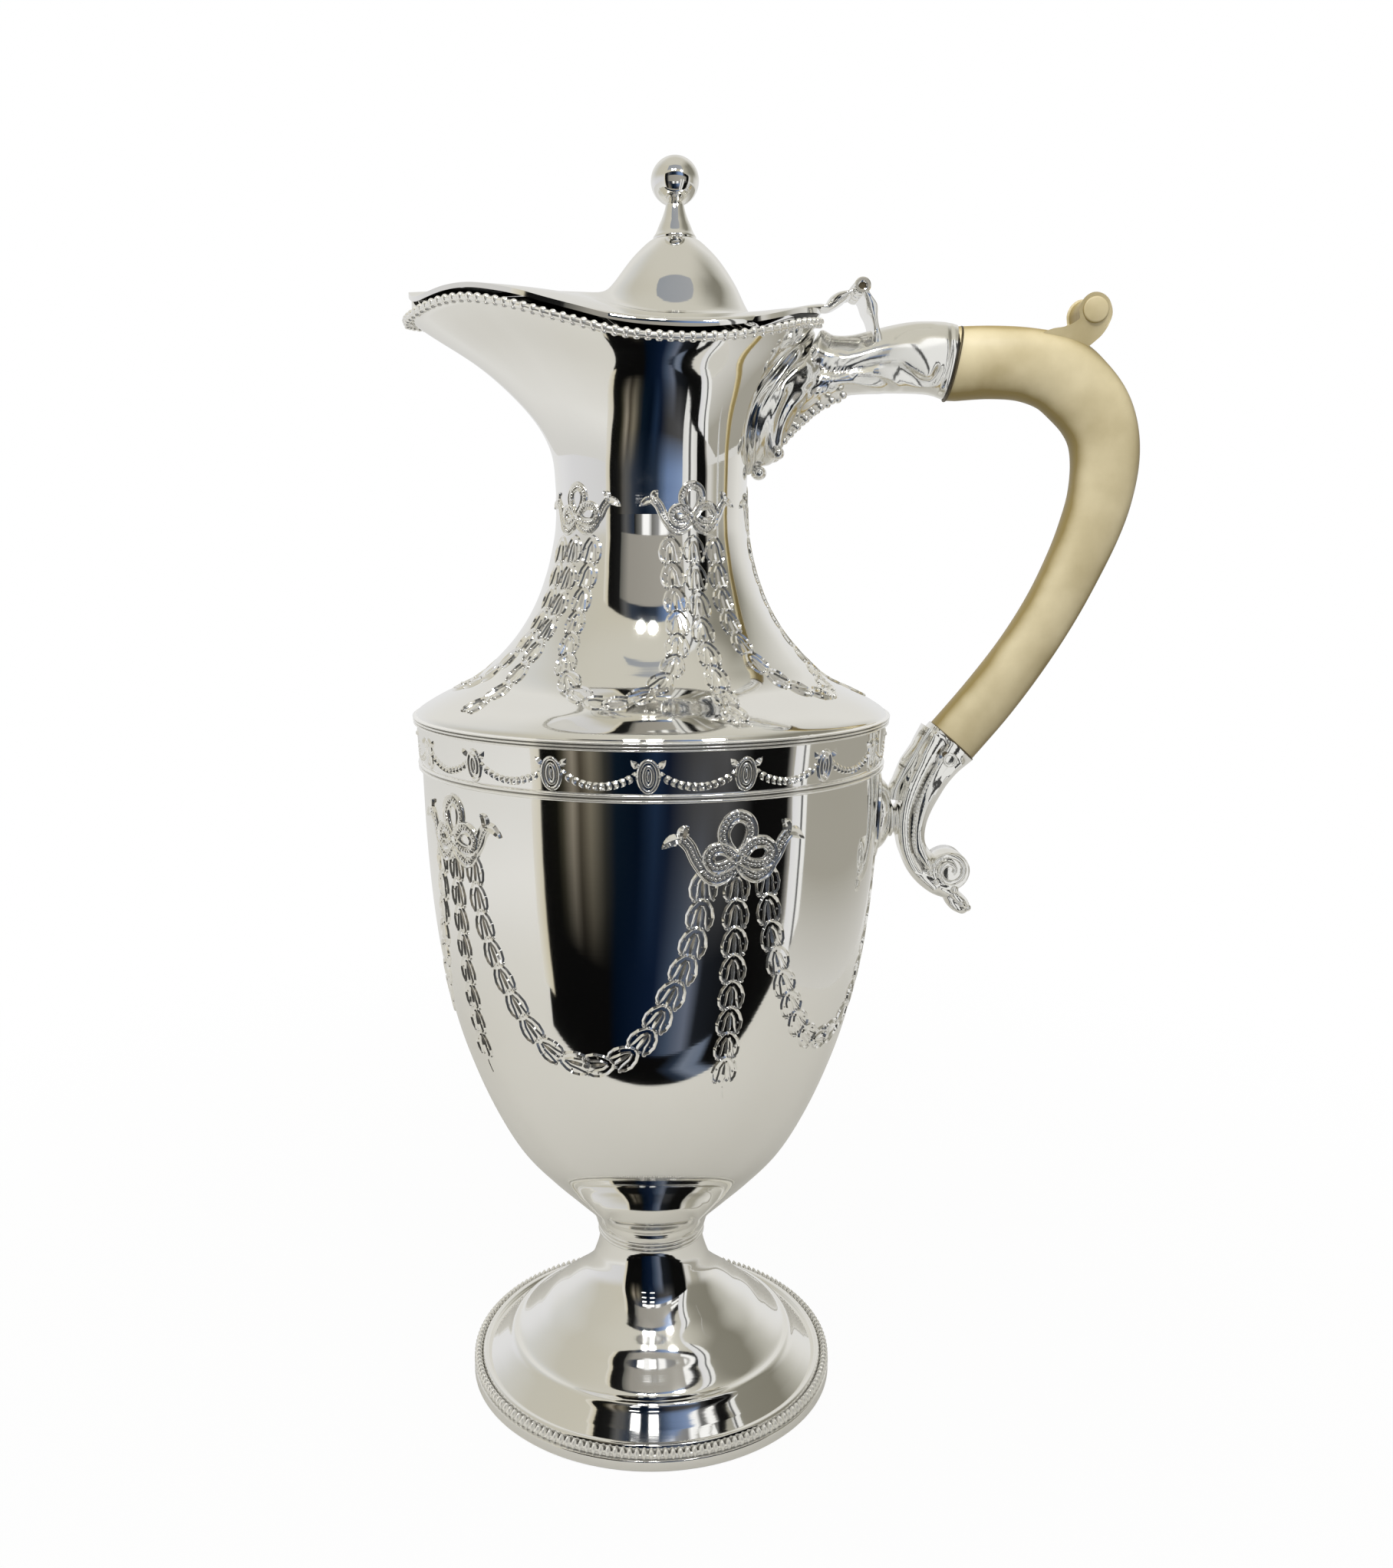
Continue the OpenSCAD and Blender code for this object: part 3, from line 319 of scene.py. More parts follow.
# BOWL
# Raised with the hammer from one sheet of silver, closed at the bottom and soldered on the
# stem.
bowl_h, bowl_r, sheet_t, body_sides = 122.5, 56.4, 1.2, 256
bowl_shares = [[0.253, 0], [0.281, 0.031], [0.381, 0.08], [0.5, 0.137], [0.618, 0.202],
               [0.717, 0.284], [0.807, 0.382], [0.881, 0.488], [0.936, 0.611], [0.97, 0.733],
               [0.99, 0.864], [1, 1]]
z_band = foot_h + bowl_h
bowl_outline = smooth([[bowl_r * a, foot_h + bowl_h * b] for a, b in bowl_shares], 12)
bowl_inside = moved(bowl_outline, sheet_t)
bowl_inside = bowl_inside[(bowl_inside[:, 1] > foot_h + sheet_t) & (bowl_inside[:, 1] < z_band)]
bowl_loop = np.vstack([[[0.01, foot_h]], bowl_outline, [[bowl_r - sheet_t, z_band]],
                       bowl_inside[::-1], [[0.01, foot_h + sheet_t]]])
piece("bowl_shell", *turned(bowl_loop, body_sides), sheet_silver, "jug", "silver_sheet",
      ["bowl"])

# FRIEZE BAND
# A strip of silver sheet, bent round and soldered, that joins the top of the bowl to the
# shoulder. It is plain here, and carries the ornament and the two reeded wires.
band_h, band_flare, patera_count = 13.3, 1.2, 17
band_r = bowl_r + band_flare
z_shoulder = z_band + band_h
band_loop = [[bowl_r - sheet_t, z_band], [bowl_r, z_band], [band_r, z_shoulder],
             [band_r - sheet_t, z_shoulder]]
piece("frieze_strip", *turned(band_loop, body_sides), sheet_silver, "jug", "silver_sheet",
      ["frieze_band"])

# SHOULDER
# Shoulder and lower neck, raised from one sheet of silver and soldered to the band below and
# to the mouth at the seam on the neck.
shoulder_h, neck_r = 47.0, 23.0
shoulder_shares = [[1, 0], [0.965, 0.026], [0.83, 0.085], [0.59, 0.17], [0.425, 0.277],
                   [0.274, 0.404], [0.153, 0.553], [0.066, 0.723], [0.014, 0.894], [0, 1]]
z_seam = z_shoulder + shoulder_h
shoulder_outline = smooth([[neck_r + (band_r - neck_r) * a, z_shoulder + shoulder_h * b]
                           for a, b in shoulder_shares], 12)
shoulder_inside = moved(shoulder_outline, sheet_t)
shoulder_inside = shoulder_inside[(shoulder_inside[:, 1] > z_shoulder)
                                  & (shoulder_inside[:, 1] < z_seam)
                                  & (shoulder_inside[:, 0] < band_r - sheet_t)]
shoulder_loop = np.vstack([shoulder_outline, [[neck_r - sheet_t, z_seam]],
                           shoulder_inside[::-1], [[band_r - sheet_t, z_shoulder]]])
piece("shoulder_shell", *turned(shoulder_loop, body_sides), sheet_silver, "jug", "silver_sheet",
      ["shoulder"])

# MOUTH
# Upper neck, raised from silver sheet, that flares into a wide lip and runs out to a spout in
# front. Its plan is half an ellipse behind, drawn to a point in front.
mouth_h, spout_reach, rear_reach, mouth_half_w, mouth_mid = 36.5, 57.7, 40.5, 36.2, 2.0
lip_rise, lip_wire_r, edge_rise, tip_rise, spout_power = 10.3, 1.2, 1.0, 4.6, 1.11
z_lip = z_seam + mouth_h
lip_shares = [[0, 0.78], [34, 0.51], [45, 0.35], [56, 0.19], [66, 0.08], [77, 0.01], [87, 0.01],
              [96, 0.06], [103, 0.17], [110, 0.35], [117, 0.54], [124, 0.74], [131, 0.89],
              [138, 0.99], [146, 1], [154, 0.94], [163, 0.86], [180, 0.79]]
flare_shares = [[0, 0], [0.16, 0.002], [0.33, 0.03], [0.48, 0.13], [0.64, 0.32], [0.79, 0.56],
                [0.94, 0.88], [1, 1]]


def along(table, x):
    """Smooth curve through a table of places and values: cubic steps whose slope at a place is
    the rise from the place before to the place after."""
    t = np.asarray(table, float)
    x = np.clip(x, t[0, 0], t[-1, 0])
    n = np.arange(len(t))
    lo, hi = np.maximum(n - 1, 0), np.minimum(n + 1, len(t) - 1)
    slope = (t[hi, 1] - t[lo, 1]) / (t[hi, 0] - t[lo, 0])
    i = np.clip(np.searchsorted(t[:, 0], x, side="right") - 1, 0, len(t) - 2)
    h = t[i + 1, 0] - t[i, 0]
    u = (x - t[i, 0]) / h
    return ((2 * u**3 - 3 * u**2 + 1) * t[i, 1] + (u**3 - 2 * u**2 + u) * h * slope[i]
            + (3 * u**2 - 2 * u**3) * t[i + 1, 1] + (u**3 - u**2) * h * slope[i + 1])


def mix(a, b, u):
    """Share u of the way from a to b."""
    return a + (b - a) * u


def lip_xy(t, inset):
    """Plan of the lip at angles in radians: an ellipse where the cosine is above 0, and the
    same with both parts raised to the spout power where it is below."""
    c, s = np.cos(t), np.sin(t)
    w = mouth_half_w - inset
    back = c >= 0
    front_c, front_s = np.abs(c) ** spout_power, np.sign(s) * np.abs(s) ** spout_power
    return np.stack([mouth_mid + np.where(back, (rear_reach - mouth_mid - inset) * c,
                                          -(spout_reach + mouth_mid - inset) * front_c),
                     w * np.where(back, s, front_s)], -1)


def wire_z(t):
    """Height of the lip wire, the same on both sides of the spout."""
    d = np.abs((np.degrees(t) + 180) % 360 - 180)
    return z_lip + lip_rise * along(lip_shares, d)


def edge_z(t):
    """Height of the sheet's edge: over the wire, and higher at the tip of the spout."""
    return wire_z(t) + edge_rise + tip_rise * np.maximum(0, -np.cos(t)) ** 40


def mouth_at(t, v, inset=0.0):
    """Outer face of the mouth at angles and shares of its height: the neck's circle and the
    lip's plan, mixed by the flare."""
    g = along(flare_shares, v)[..., None]
    neck = neck_r * np.stack([np.cos(t), np.sin(t)], -1)
    plan = mix(neck, lip_xy(t, lip_wire_r + 0.05), g)
    out = np.stack([np.cos(t), np.sin(t)], -1)
    return np.concatenate([plan - inset * out, mix(z_seam, wire_z(t), v)[..., None]], -1)


def mouth_normal(t, v):
    """Outward normal of the mouth, from small steps along both ways."""
    a = mouth_at(t + 0.01, v) - mouth_at(t - 0.01, v)
    b = mouth_at(t, np.minimum(1, v + 0.01)) - mouth_at(t, np.maximum(0, v - 0.01))
    n = np.cross(a, b)
    return n / np.linalg.norm(n, axis=-1)[..., None]


mouth_sides = 240
round_angles = np.linspace(0, 2 * np.pi, mouth_sides, endpoint=False)
mouth_rows = [mouth_at(round_angles, np.full(mouth_sides, v)) for v in np.linspace(0, 1, 44)]
lip_row = mouth_rows[-1]
top_normal = mouth_normal(round_angles, np.ones(mouth_sides)) * [1, 1, 0]
top_normal /= np.linalg.norm(top_normal, axis=1)[:, None]
for inset, drop in ((0, 0.3), (0.1, 0.08), (0.35, 0), (0.85, 0), (1.1, 0.08), (1.2, 0.3)):
    mouth_rows.append(np.column_stack([(lip_row - inset * top_normal)[:, :2],
                                       edge_z(round_angles) - drop]))
for v in np.linspace(1, 0, 30):
    outward = mouth_normal(round_angles, np.full(mouth_sides, v))
    if v in (0, 1):
        outward = outward * [1, 1, 0]
        outward /= np.linalg.norm(outward, axis=1)[:, None]
    mouth_rows.append(mouth_at(round_angles, np.full(mouth_sides, v)) - sheet_t * outward)
piece("mouth_shell", np.vstack(mouth_rows),
      grid_faces(len(mouth_rows), mouth_sides, close_rows=True, close_cols=True), sheet_silver,
      "jug", "silver_sheet", ["mouth"], crease=50)

# LIP BEADS
# Beaded wire soldered under the lip, open behind where the upper branch meets the mouth. Each
# upright bead has a small one under it.
lip_bead_pitch, wire_start = 2.35, np.radians(18)
lip_t = np.linspace(wire_start, 2 * np.pi - wire_start, 1500)
lip_line = np.column_stack([lip_xy(lip_t, 0), wire_z(lip_t)])
lip_s = run_up(np.linalg.norm(np.diff(lip_line, axis=0), axis=1))
lip_count = int(lip_s[-1] / lip_bead_pitch)
lip_places, tail_places = [], []
for s in np.linspace(0.6, lip_s[-1] - 0.6, lip_count):
    t = np.interp(s, lip_s, lip_t)
    at = np.append(lip_xy(t, 0), wire_z(t))
    step = np.append(lip_xy(t + 0.01, 0), wire_z(t + 0.01)) - np.append(lip_xy(t - 0.01, 0),
                                                                        wire_z(t - 0.01))
    run = step / np.linalg.norm(step)
    out = np.cross(run, [0, 0, 1.0])
    out /= np.linalg.norm(out)
    up = np.cross(out, run)
    lip_places.append((np.stack([run, out * 1.1, up * 0.95], 1), at + 0.25 * up))
    tail_places.append((np.stack([run * 0.8, out * 0.8, up * 0.45], 1), at - 0.75 * up))
lip_core = tube(lip_line[::6], 0.78, 8)
piece("lip_beads", *joined(repeated(bead_shape(8, 6), lip_places),
                           repeated(bead_shape(6, 4), tail_places), lip_core),
      wire_silver, "jug", "silver_wire", ["lip_bead_wire"], crease=80)

# CHASED HUSKS
# Strings of bellflower husks, raised from behind with punches: swags between the bows and a
# straight drop under each bow. Each husk is an arched rim, two petals with a groove between
# them, and three pearls at its open end.
husk_w, husk_l, husk_pitch = 5.9, 6.5, 6.65


def laid(outline, theta, z, across, up, lift):
    """Points on a turned outline. They lie across and up, along the surface, from a place at
    the angle theta (0 faces the camera side, 90 the handle) and the height z, and stand out
    square to the surface by lift."""
    s = run_up(np.hypot(*np.diff(outline, axis=0).T))
    grow = 1 if outline[-1, 1] > outline[0, 1] else -1
    heights = outline[::grow, 1]
    here = np.interp(z, heights, s[::grow]) + grow * np.asarray(up, float)
    r, h = np.interp(here, s, outline[:, 0]), np.interp(here, s, outline[:, 1])
    slope = np.gradient(outline, s, axis=0) * grow
    nr, nz = np.interp(here, s, slope[:, 1]), -np.interp(here, s, slope[:, 0])
    r0 = np.interp(np.interp(z, heights, s[::grow]), s, outline[:, 0])
    a = np.radians(theta) + np.asarray(across, float) / (0.5 * (r + r0))
    r, h = r + lift * nr, h + lift * nz
    return np.stack([r * np.sin(a), -r * np.cos(a), h], -1)


def ridge_on(path, section, closed=False):
    """Ribbon along a flat path. Each row of the section is a place across it and a height."""
    p, q = np.asarray(path, float), np.asarray(section, float)
    d = np.roll(p, -1, 0) - np.roll(p, 1, 0) if closed else np.gradient(p, axis=0)
    d /= np.linalg.norm(d, axis=1)[:, None]
    side = np.stack([-d[:, 1], d[:, 0]], 1)
    flat = p[:, None] + side[:, None] * q[None, :, :1]
    points = np.concatenate([flat, np.broadcast_to(q[None, :, 1:], (len(p), len(q), 1))], 2)
    return points.reshape(-1, 3), grid_faces(len(p), len(q), close_rows=closed).tolist()


def pearl_on(at, r, sides=5, tall=0.9):
    """Half pearl at a flat place: two rings and a top."""
    a = np.linspace(0, 2 * np.pi, sides, endpoint=False)
    rings = [[at[0] + k * r * np.cos(t), at[1] + k * r * np.sin(t), h * r * tall]
             for k, h in ((1, -0.1), (0.78, 0.66)) for t in a]
    n = sides
    faces = [[j, (j + 1) % n, n + (j + 1) % n, n + j] for j in range(n)]
    faces += [[n + j, n + (j + 1) % n, 2 * n] for j in range(n)]
    return np.array(rings + [[*at, r * tall]]), faces


def husk_shape():
    """Husk about its middle: across, along towards its closed end, height. An arched rim, the
    inner edges of two side petals, a petal between them, pearls and small dots."""
    w, l = husk_w / 2, husk_l
    half = [(0, 0.52), (0.42, 0.42), (0.78, 0.2), (0.98, -0.08), (0.92, -0.34), (0.6, -0.54)]
    arch = np.array([(-x * w, y * l) for x, y in half[:0:-1]] + [(x * w, y * l) for x, y in half])
    parts = [ridge_on(arch, [[0.42, -0.05], [0.02, 0.4], [-0.42, -0.05]])]
    for side in (-1, 1):
        inner = [(side * x * w, y * l) for x, y in ((0.08, 0.3), (0.36, 0.08), (0.44, -0.2),
                                                    (0.58, -0.5))]
        parts.append(ridge_on(inner, [[0.36, -0.05], [0, 0.33], [-0.36, -0.05]]))
    lens, f = ridge_on([(0, y * l) for y in (0.24, 0.06, -0.16, -0.36, -0.58)],
                       [[0.62, -0.05], [0, 0.38], [-0.62, -0.05]])
    lens[:, 0] *= np.repeat([0.2, 0.8, 1, 0.85, 0.1], 3)
    lens[:, 2] *= np.repeat([0.3, 0.9, 1, 0.9, 0.1], 3)
    parts.append((lens, f))
    parts += [pearl_on((x * w, y * l), r, 4) for x, y, r in (
        (-0.74, -0.5, 0.5), (0.74, -0.5, 0.5), (-0.3, -0.5, 0.42), (0.3, -0.5, 0.42))]
    parts += [pearl_on((x * w, y * l), 0.3, 3, 1.2) for x, y in ((-0.66, 0.02), (0.68, -0.12))]
    return joined(*parts)


def chased(shape, outline, theta, z, turn, size=1.0):
    """A flat shape laid on a turned outline. Turn is the lean of its length from straight up
    towards the handle side, in degrees."""
    p = shape[0] * size
    t = np.radians(turn)
    return laid(outline, theta, z, p[:, 0] * np.cos(t) + p[:, 1] * np.sin(t),
                p[:, 1] * np.cos(t) - p[:, 0] * np.sin(t), p[:, 2]), shape[1]


def string_places(outline, path, pitch, start=0.5, end=0.0):
    """Places of husks along a path of [angle, height]: even steps along the surface, each with
    the lean of the path there, pointing back to its start."""
    line = smooth(path, 12)
    grow = 1 if outline[-1, 1] > outline[0, 1] else -1
    r = np.interp(line[:, 1], outline[::grow, 1], outline[::grow, 0])
    across = np.diff(np.radians(line[:, 0])) * 0.5 * (r[1:] + r[:-1])
    up = np.hypot(np.diff(line[:, 1]), np.diff(r)) * np.sign(np.diff(line[:, 1]))
    s = run_up(np.hypot(across, up))
    count = int(round((s[-1] - end) / pitch - start + 0.5))
    at = (np.arange(count) + start) * (s[-1] - end) / (count + start - 0.5)
    lean = np.degrees(np.unwrap(np.arctan2(-across, -up)))
    mid = 0.5 * (s[1:] + s[:-1])
    return [(np.interp(x, s, line[:, 0]), np.interp(x, s, line[:, 1]),
             np.interp(x, mid, lean)) for x in at]


husk = husk_shape()
bow_angles = [19.2, 91.2, 163.2, 235.2, 307.2]
plate_bow = bow_angles[1]  # the handle's plate sits in its place
swag_half = [(7.8, 148.0), (7.8, 142.0), (9.0, 134.5), (11.3, 127.0), (14.4, 120.0),
             (18.3, 113.0), (22.7, 107.2), (28.5, 103.2), (36, 101.6)]
drop_line = [(0, 147.5), (0, 120), (0, 97.5)]
bowl_strings = []
for bow in bow_angles:
    for side in (-1, 1):
        path = [(bow + side * a, z) for a, z in swag_half]
        bowl_strings += [chased(husk, bowl_outline, *place) for place in
                         string_places(bowl_outline, path, husk_pitch)]
    path = [(bow + a, z) for a, z in drop_line]
    for theta, z, lean in string_places(bowl_outline, path, husk_pitch):
        if bow != plate_bow or z <= 130:
            bowl_strings.append(chased(husk, bowl_outline, theta, z, lean))
    stroke = ridge_on([(0, 0), (0.2, -1.6), (0.6, -3.2)], [[0.2, -0.03], [0, 0.15], [-0.2, -0.03]])
    bowl_strings.append(chased(stroke, bowl_outline, bow, 95.8, 0))
for mid in (a + 36 for a in bow_angles):
    bowl_strings.append(chased(pearl_on((0, 0), 1.1, 8), bowl_outline, mid, 101.7, 0))
chased_silver = polished_silver("chased_silver", silver_tone, 0.06, 0.05, tarnish=0.3, frost=0.1)
piece("bowl_husks", *joined(*bowl_strings), chased_silver, "jug", "silver_sheet", crease=50,
      outwards=False)

neck_outline = np.vstack([shoulder_outline, [[22.95, z_seam + 4], [22.95, z_seam + 8],
                                             [23.1, z_seam + 12], [23.6, z_seam + 15]]])
neck_bows = [24.0, 96.0, 168.0, 240.0, 312.0]
neck_swag_half = [(13.6, 218.0), (13.3, 212.0), (12.6, 204.5), (12.8, 198.5), (14.5, 193.0),
                  (18.0, 188.6), (24.0, 184.9), (31.0, 182.9), (36, 182.4)]
neck_strings = []
for bow in neck_bows:
    for side in (-1, 1):
        path = [(bow + side * a, z) for a, z in neck_swag_half]
        neck_strings += [chased(husk, neck_outline, *place, size=0.9) for place in
                         string_places(neck_outline, path, 5.85)]
    path = [(bow, 218.5), (bow - 0.5, 206), (bow - 2.2, 195), (bow - 2.6, 186),
            (bow - 3.6, 179.4)]
    neck_strings += [chased(husk, neck_outline, *place, size=0.88 + 0.016 * i) for i, place in
                     enumerate(string_places(neck_outline, path, 6.2))]
for mid in (a + 36 for a in neck_bows):
    neck_strings.append(chased(pearl_on((0, 0), 1.0, 8), neck_outline, mid, 182.5, 0))
piece("neck_husks", *joined(*neck_strings), chased_silver, "jug", "silver_sheet", crease=50,
      outwards=False)

# CHASED BOWS
# Ribbon bows that the husks hang from: a top loop, two side loops, a knot and two tails with
# forked ends. Each ribbon has two raised edges and a row of punched beads between them.
ribbon_half = 1.5
bow_ribbons = [
    [(-8.0, -1.8), (-9.4, 0.4), (-10.6, 3.0), (-12.2, 4.8)],
    [(8.0, -1.8), (9.6, 0.4), (11.0, 3.0), (12.6, 4.8)],
    [(-0.8, 0.6), (-2.6, 3.0), (-3.3, 5.8), (-2.0, 8.4), (0.2, 9.3), (2.4, 8.2), (3.2, 5.8),
     (2.4, 3.0), (0.8, 0.6)],
    [(-0.3, -0.8), (-2.0, -3.2), (-4.6, -4.4), (-6.8, -3.4), (-8.0, -1.8)],
    [(0.3, -0.8), (2.0, -3.2), (4.6, -4.4), (6.8, -3.4), (8.0, -1.8)],
    [(-0.6, 0.3), (-2.8, 2.1), (-5.4, 2.2), (-6.6, 0.3), (-5.4, -1.7), (-2.8, -1.5), (-0.6, -0.2)],
    [(0.6, 0.4), (3.0, 2.9), (6.2, 3.2), (8.2, 1.0), (6.8, -1.5), (3.4, -1.6), (0.6, -0.2)],
]
fork_ends = [[(-12.2, 4.6), (-12.0, 6.4), (-10.9, 7.6)],
             [(-12.4, 4.7), (-14.4, 4.5), (-16.6, 2.8)],
             [(12.2, 4.6), (12.0, 6.4), (10.9, 7.6)],
             [(12.4, 4.7), (14.4, 4.5), (16.6, 2.8)]]


def bow_shape():
    """Bow of ribbons that pass over each other, later ones on top."""
    parts = []
    for k, ribbon in enumerate(bow_ribbons):
        line = smooth(ribbon, 5)
        w, base = ribbon_half, 0.05 * k
        top = base + 0.48
        half = [(w, -0.05), (0.92 * w, 0.75 * top), (0.76 * w, top), (0.58 * w, 0.7 * top),
                (0.46 * w, base + 0.1)]
        parts.append(ridge_on(line, half + [(-x, h) for x, h in half[::-1]]))
        s = run_up(np.hypot(*np.diff(line, axis=0).T))
        for x in np.arange(0.5, s[-1] - 0.4, 0.95):
            at = (np.interp(x, s, line[:, 0]), np.interp(x, s, line[:, 1]))
            p, f = pearl_on(at, 0.5, 5)
            parts.append((p + [0, 0, base + 0.1], f))
    for end in fork_ends:
        line = smooth(end, 4)
        swell = np.sin(np.linspace(0.45, np.pi - 0.05, len(line)))
        p, f = ridge_on(line, [[1.4, -0.05], [0.8, 0.6], [0, 0.2], [-0.8, 0.6], [-1.4, -0.05]])
        p = p.reshape(len(line), 5, 3)
        p[..., :2] = line[:, None] + (p[..., :2] - line[:, None]) * swell[:, None, None]
        parts.append((p.reshape(-1, 3), f))
    parts.append(pearl_on((0, 0.1), 1.5, 10, 0.5))
    return joined(*parts)


bow = bow_shape()
bows = [chased(bow, bowl_outline, a, 150.3, 0) for a in bow_angles if a != plate_bow]
bows += [chased(bow, neck_outline, a, 222.6, 0, size=0.74) for a in neck_bows]
piece("chased_bows", *joined(*bows), chased_silver, "jug", "silver_sheet", crease=50,
      outwards=False)

# FRIEZE ORNAMENT
# Oval paterae with a double edge and, between them, swags of small paired leaves, all pressed
# into the silver strip from behind and chased.
band_line = np.array([[bowl_r, z_band], [bowl_r + band_flare / 2, z_band + band_h / 2],
                      [band_r, z_shoulder]])
edge_section = [[0.5, -0.05], [0.28, 0.34], [0, 0.46], [-0.28, 0.34], [-0.5, -0.05]]


def patera_shape():
    """Two oval rims, one inside the other, and a long pearl in the middle."""
    f = np.linspace(0, 2 * np.pi, 20, endpoint=False)
    parts = [ridge_on(np.stack([w * np.cos(f), h * np.sin(f)], 1), edge_section, closed=True)
             for w, h in ((2.05, 3.35), (0.95, 2.1))]
    p, faces = pearl_on((0, 0), 0.4, 6)
    parts.append((p * [1, 3.4, 1.2], faces))
    return joined(*parts)


def leaf_shape():
    """Small pointed leaf with a raised midrib."""
    points = [[0, 0, 0], [0.5, 0.5, 0], [0.42, 1.1, 0], [0, 1.7, 0], [-0.42, 1.1, 0],
              [-0.5, 0.5, 0], [0, 0.5, 0.5], [0, 1.1, 0.45]]
    return np.array(points), [[0, 1, 6], [1, 2, 7, 6], [2, 3, 7], [3, 4, 7], [4, 5, 6, 7],
                              [5, 0, 6]]


patera, small_leaf = patera_shape(), leaf_shape()
patera_step = 360 / patera_count
patera_z = z_band + 5.95
frieze = []
for i in range(patera_count):
    theta = -0.6 + i * patera_step
    frieze.append(chased(patera, band_line, theta, patera_z, 0))
    for u in np.linspace(-0.82, 0.82, 13):
        z = patera_z + 2.1 - 4.4 * (1 - u**2)
        lean = np.degrees(np.arctan2(1.0, 8.8 * u / 9.3)) if u else 90
        at = theta + (0.5 + 0.5 * u) * patera_step
        for fork in (-30, 30):
            frieze.append(chased(small_leaf, band_line, at, z, lean + fork + 180 * (u > 0)))
    for end in (-1, 1):
        frieze.append(chased(small_leaf, band_line, theta + end * 2.0, patera_z + 1.6, end * 42,
                             size=1.5))
piece("frieze_ornament", *joined(*frieze), chased_silver, "jug", "silver_sheet", crease=50,
      outwards=False)

# BAND MOULDINGS
# Two silver wires of rounded reeds, drawn through a shaped plate and soldered on the band's
# upper and lower edges.
moulding_h, moulding_t = 2.2, 0.9


def reeds(z, count):
    """Closed outline of a moulding of round reeds, seated on the band at a height."""
    r0 = bowl_r + band_flare * (z - z_band) / band_h
    out = [[r0 - 0.4, z]]
    for i in range(count):
        for a in np.radians(np.linspace(-90, 90, 11)):
            out.append([r0 + moulding_t * (0.1 + 0.9 * np.cos(a)) + i * band_flare / band_h,
                        z + (i + 0.5 + 0.42 * np.sin(a)) * moulding_h / count])
    return out + [[r0 - 0.4, z + moulding_h]]


for name, z, count, node in (("upper_reeds", z_shoulder - moulding_h, 3, "band_upper_moulding"),
                             ("lower_reeds", z_band, 2, "band_lower_moulding")):
    piece(name, *turned(reeds(z, count), body_sides), wire_silver, "jug", "silver_wire", [node],
          crease=60)

# UPPER BRANCH
# Cast silver leaf on the back of the mouth that runs out to a socket for the grip, with chased
# leaves, flutes and scrolls on both sides. It is soldered to the mouth.
upper_joint = np.array([rear_reach + 31.15, z_lip - 1.0])
upper_tilt, lower_tilt, grip_t, grip_w = 11.1, 131.4, 17.1, 12.4
leaf_top_half = np.radians(15)
leaf_half_shares = [[0, 0.3], [0.2, 1.3], [0.5, 1.75], [0.8, 1.3], [1, 1]]
# Side view of the branch: its top and under side from the mouth to the socket, half widths
upper_sides = [
    [(40.2, 266.2), (28.9, 235.4), 8.2], [(43.3, 265.1), (31.7, 239.6), 6.6],
    [(47.3, 265.1), (35.0, 243.6), 6.0], [(51.4, 266.0), (39.3, 247.5), 6.2],
    [(56.4, 267.2), (45.4, 250.9), 6.7], [(61.0, 268.0), (52.5, 251.7), 7.1],
    [(65.4, 268.2), (59.6, 251.8), 7.1], [(69.8, 268.0), (65.7, 251.5), 6.9],
    [(72.3, 267.4), (69.4, 250.4), 6.6]]
# Ridges and grooves on its sides: places in the side view, height and half width
upper_relief = [
    ([(35.3, 265), (33.9, 259.5), (33, 256), (29.5, 251.3), (26.8, 245.6), (25.5, 241.2),
      (24.5, 235.9)], 1.1, 1.5),
    ([(36.4, 262.1), (37.9, 258.6), (41, 256.9), (45.1, 256.3), (51.3, 257.5), (57.2, 257.5),
      (60.4, 255.6), (63.1, 254.1), (65.8, 254.3), (67.3, 256.5)], -1.1, 0.75),
    ([(41.4, 259.5), (46.8, 259), (53.5, 260.3), (59.3, 260.8), (62.5, 259.5), (64.8, 256.9),
      (65.3, 255.2)], 0.9, 2.0),
    ([(34.8, 253.4), (38, 254), (41.6, 254.2), (47, 254), (51.5, 253.1), (54.3, 252.2)],
     0.8, 0.8),
    ([(47.8, 255.6), (52.3, 256), (55.5, 255.1), (57.3, 254.1), (58.6, 252.9)], 0.7, 0.6),
    ([(29.9, 239.4), (30.9, 244.7), (33.6, 249.1), (37.1, 250.8), (40.7, 251.7)], 0.8, 0.7),
    ([(30.1, 250.8), (28.4, 245.6), (28.2, 241.2), (28.8, 237.7), (29.9, 236.3), (31.3, 237.7),
      (31, 239.2)], 0.9, 0.7),
    ([(56.6, 263.3), (59.2, 265.2), (62.3, 266.2), (65.4, 266.4)], -0.4, 0.5),
    ([(70.3, 268), (69.9, 260.4), (69, 255.2), (67.6, 250.6)], -0.4, 0.4)]
upper_pearls = [(45.2, 250.9), (42.6, 249.7), (40.1, 248.3), (38.3, 247), (36.6, 245.5),
                (34.6, 243.7), (32.9, 242), (31.4, 240.4)]


def oval_ring(centre, half_t, half_w, tilt, sides, power=1.0):
    """Closed ring square to the handle's plane: an oval about a centre in the side view, whose
    thickness leans from upright by the tilt. A power below 1 squares it."""
    a = np.linspace(0, 2 * np.pi, sides, endpoint=False)
    c, s = np.cos(a), np.sin(a)
    c, s = np.sign(c) * np.abs(c) ** power, half_t * np.sign(s) * np.abs(s) ** power
    lean = np.radians(tilt)
    return np.stack([centre[0] + s * np.sin(lean), half_w * c, centre[1] + s * np.cos(lean)], -1)


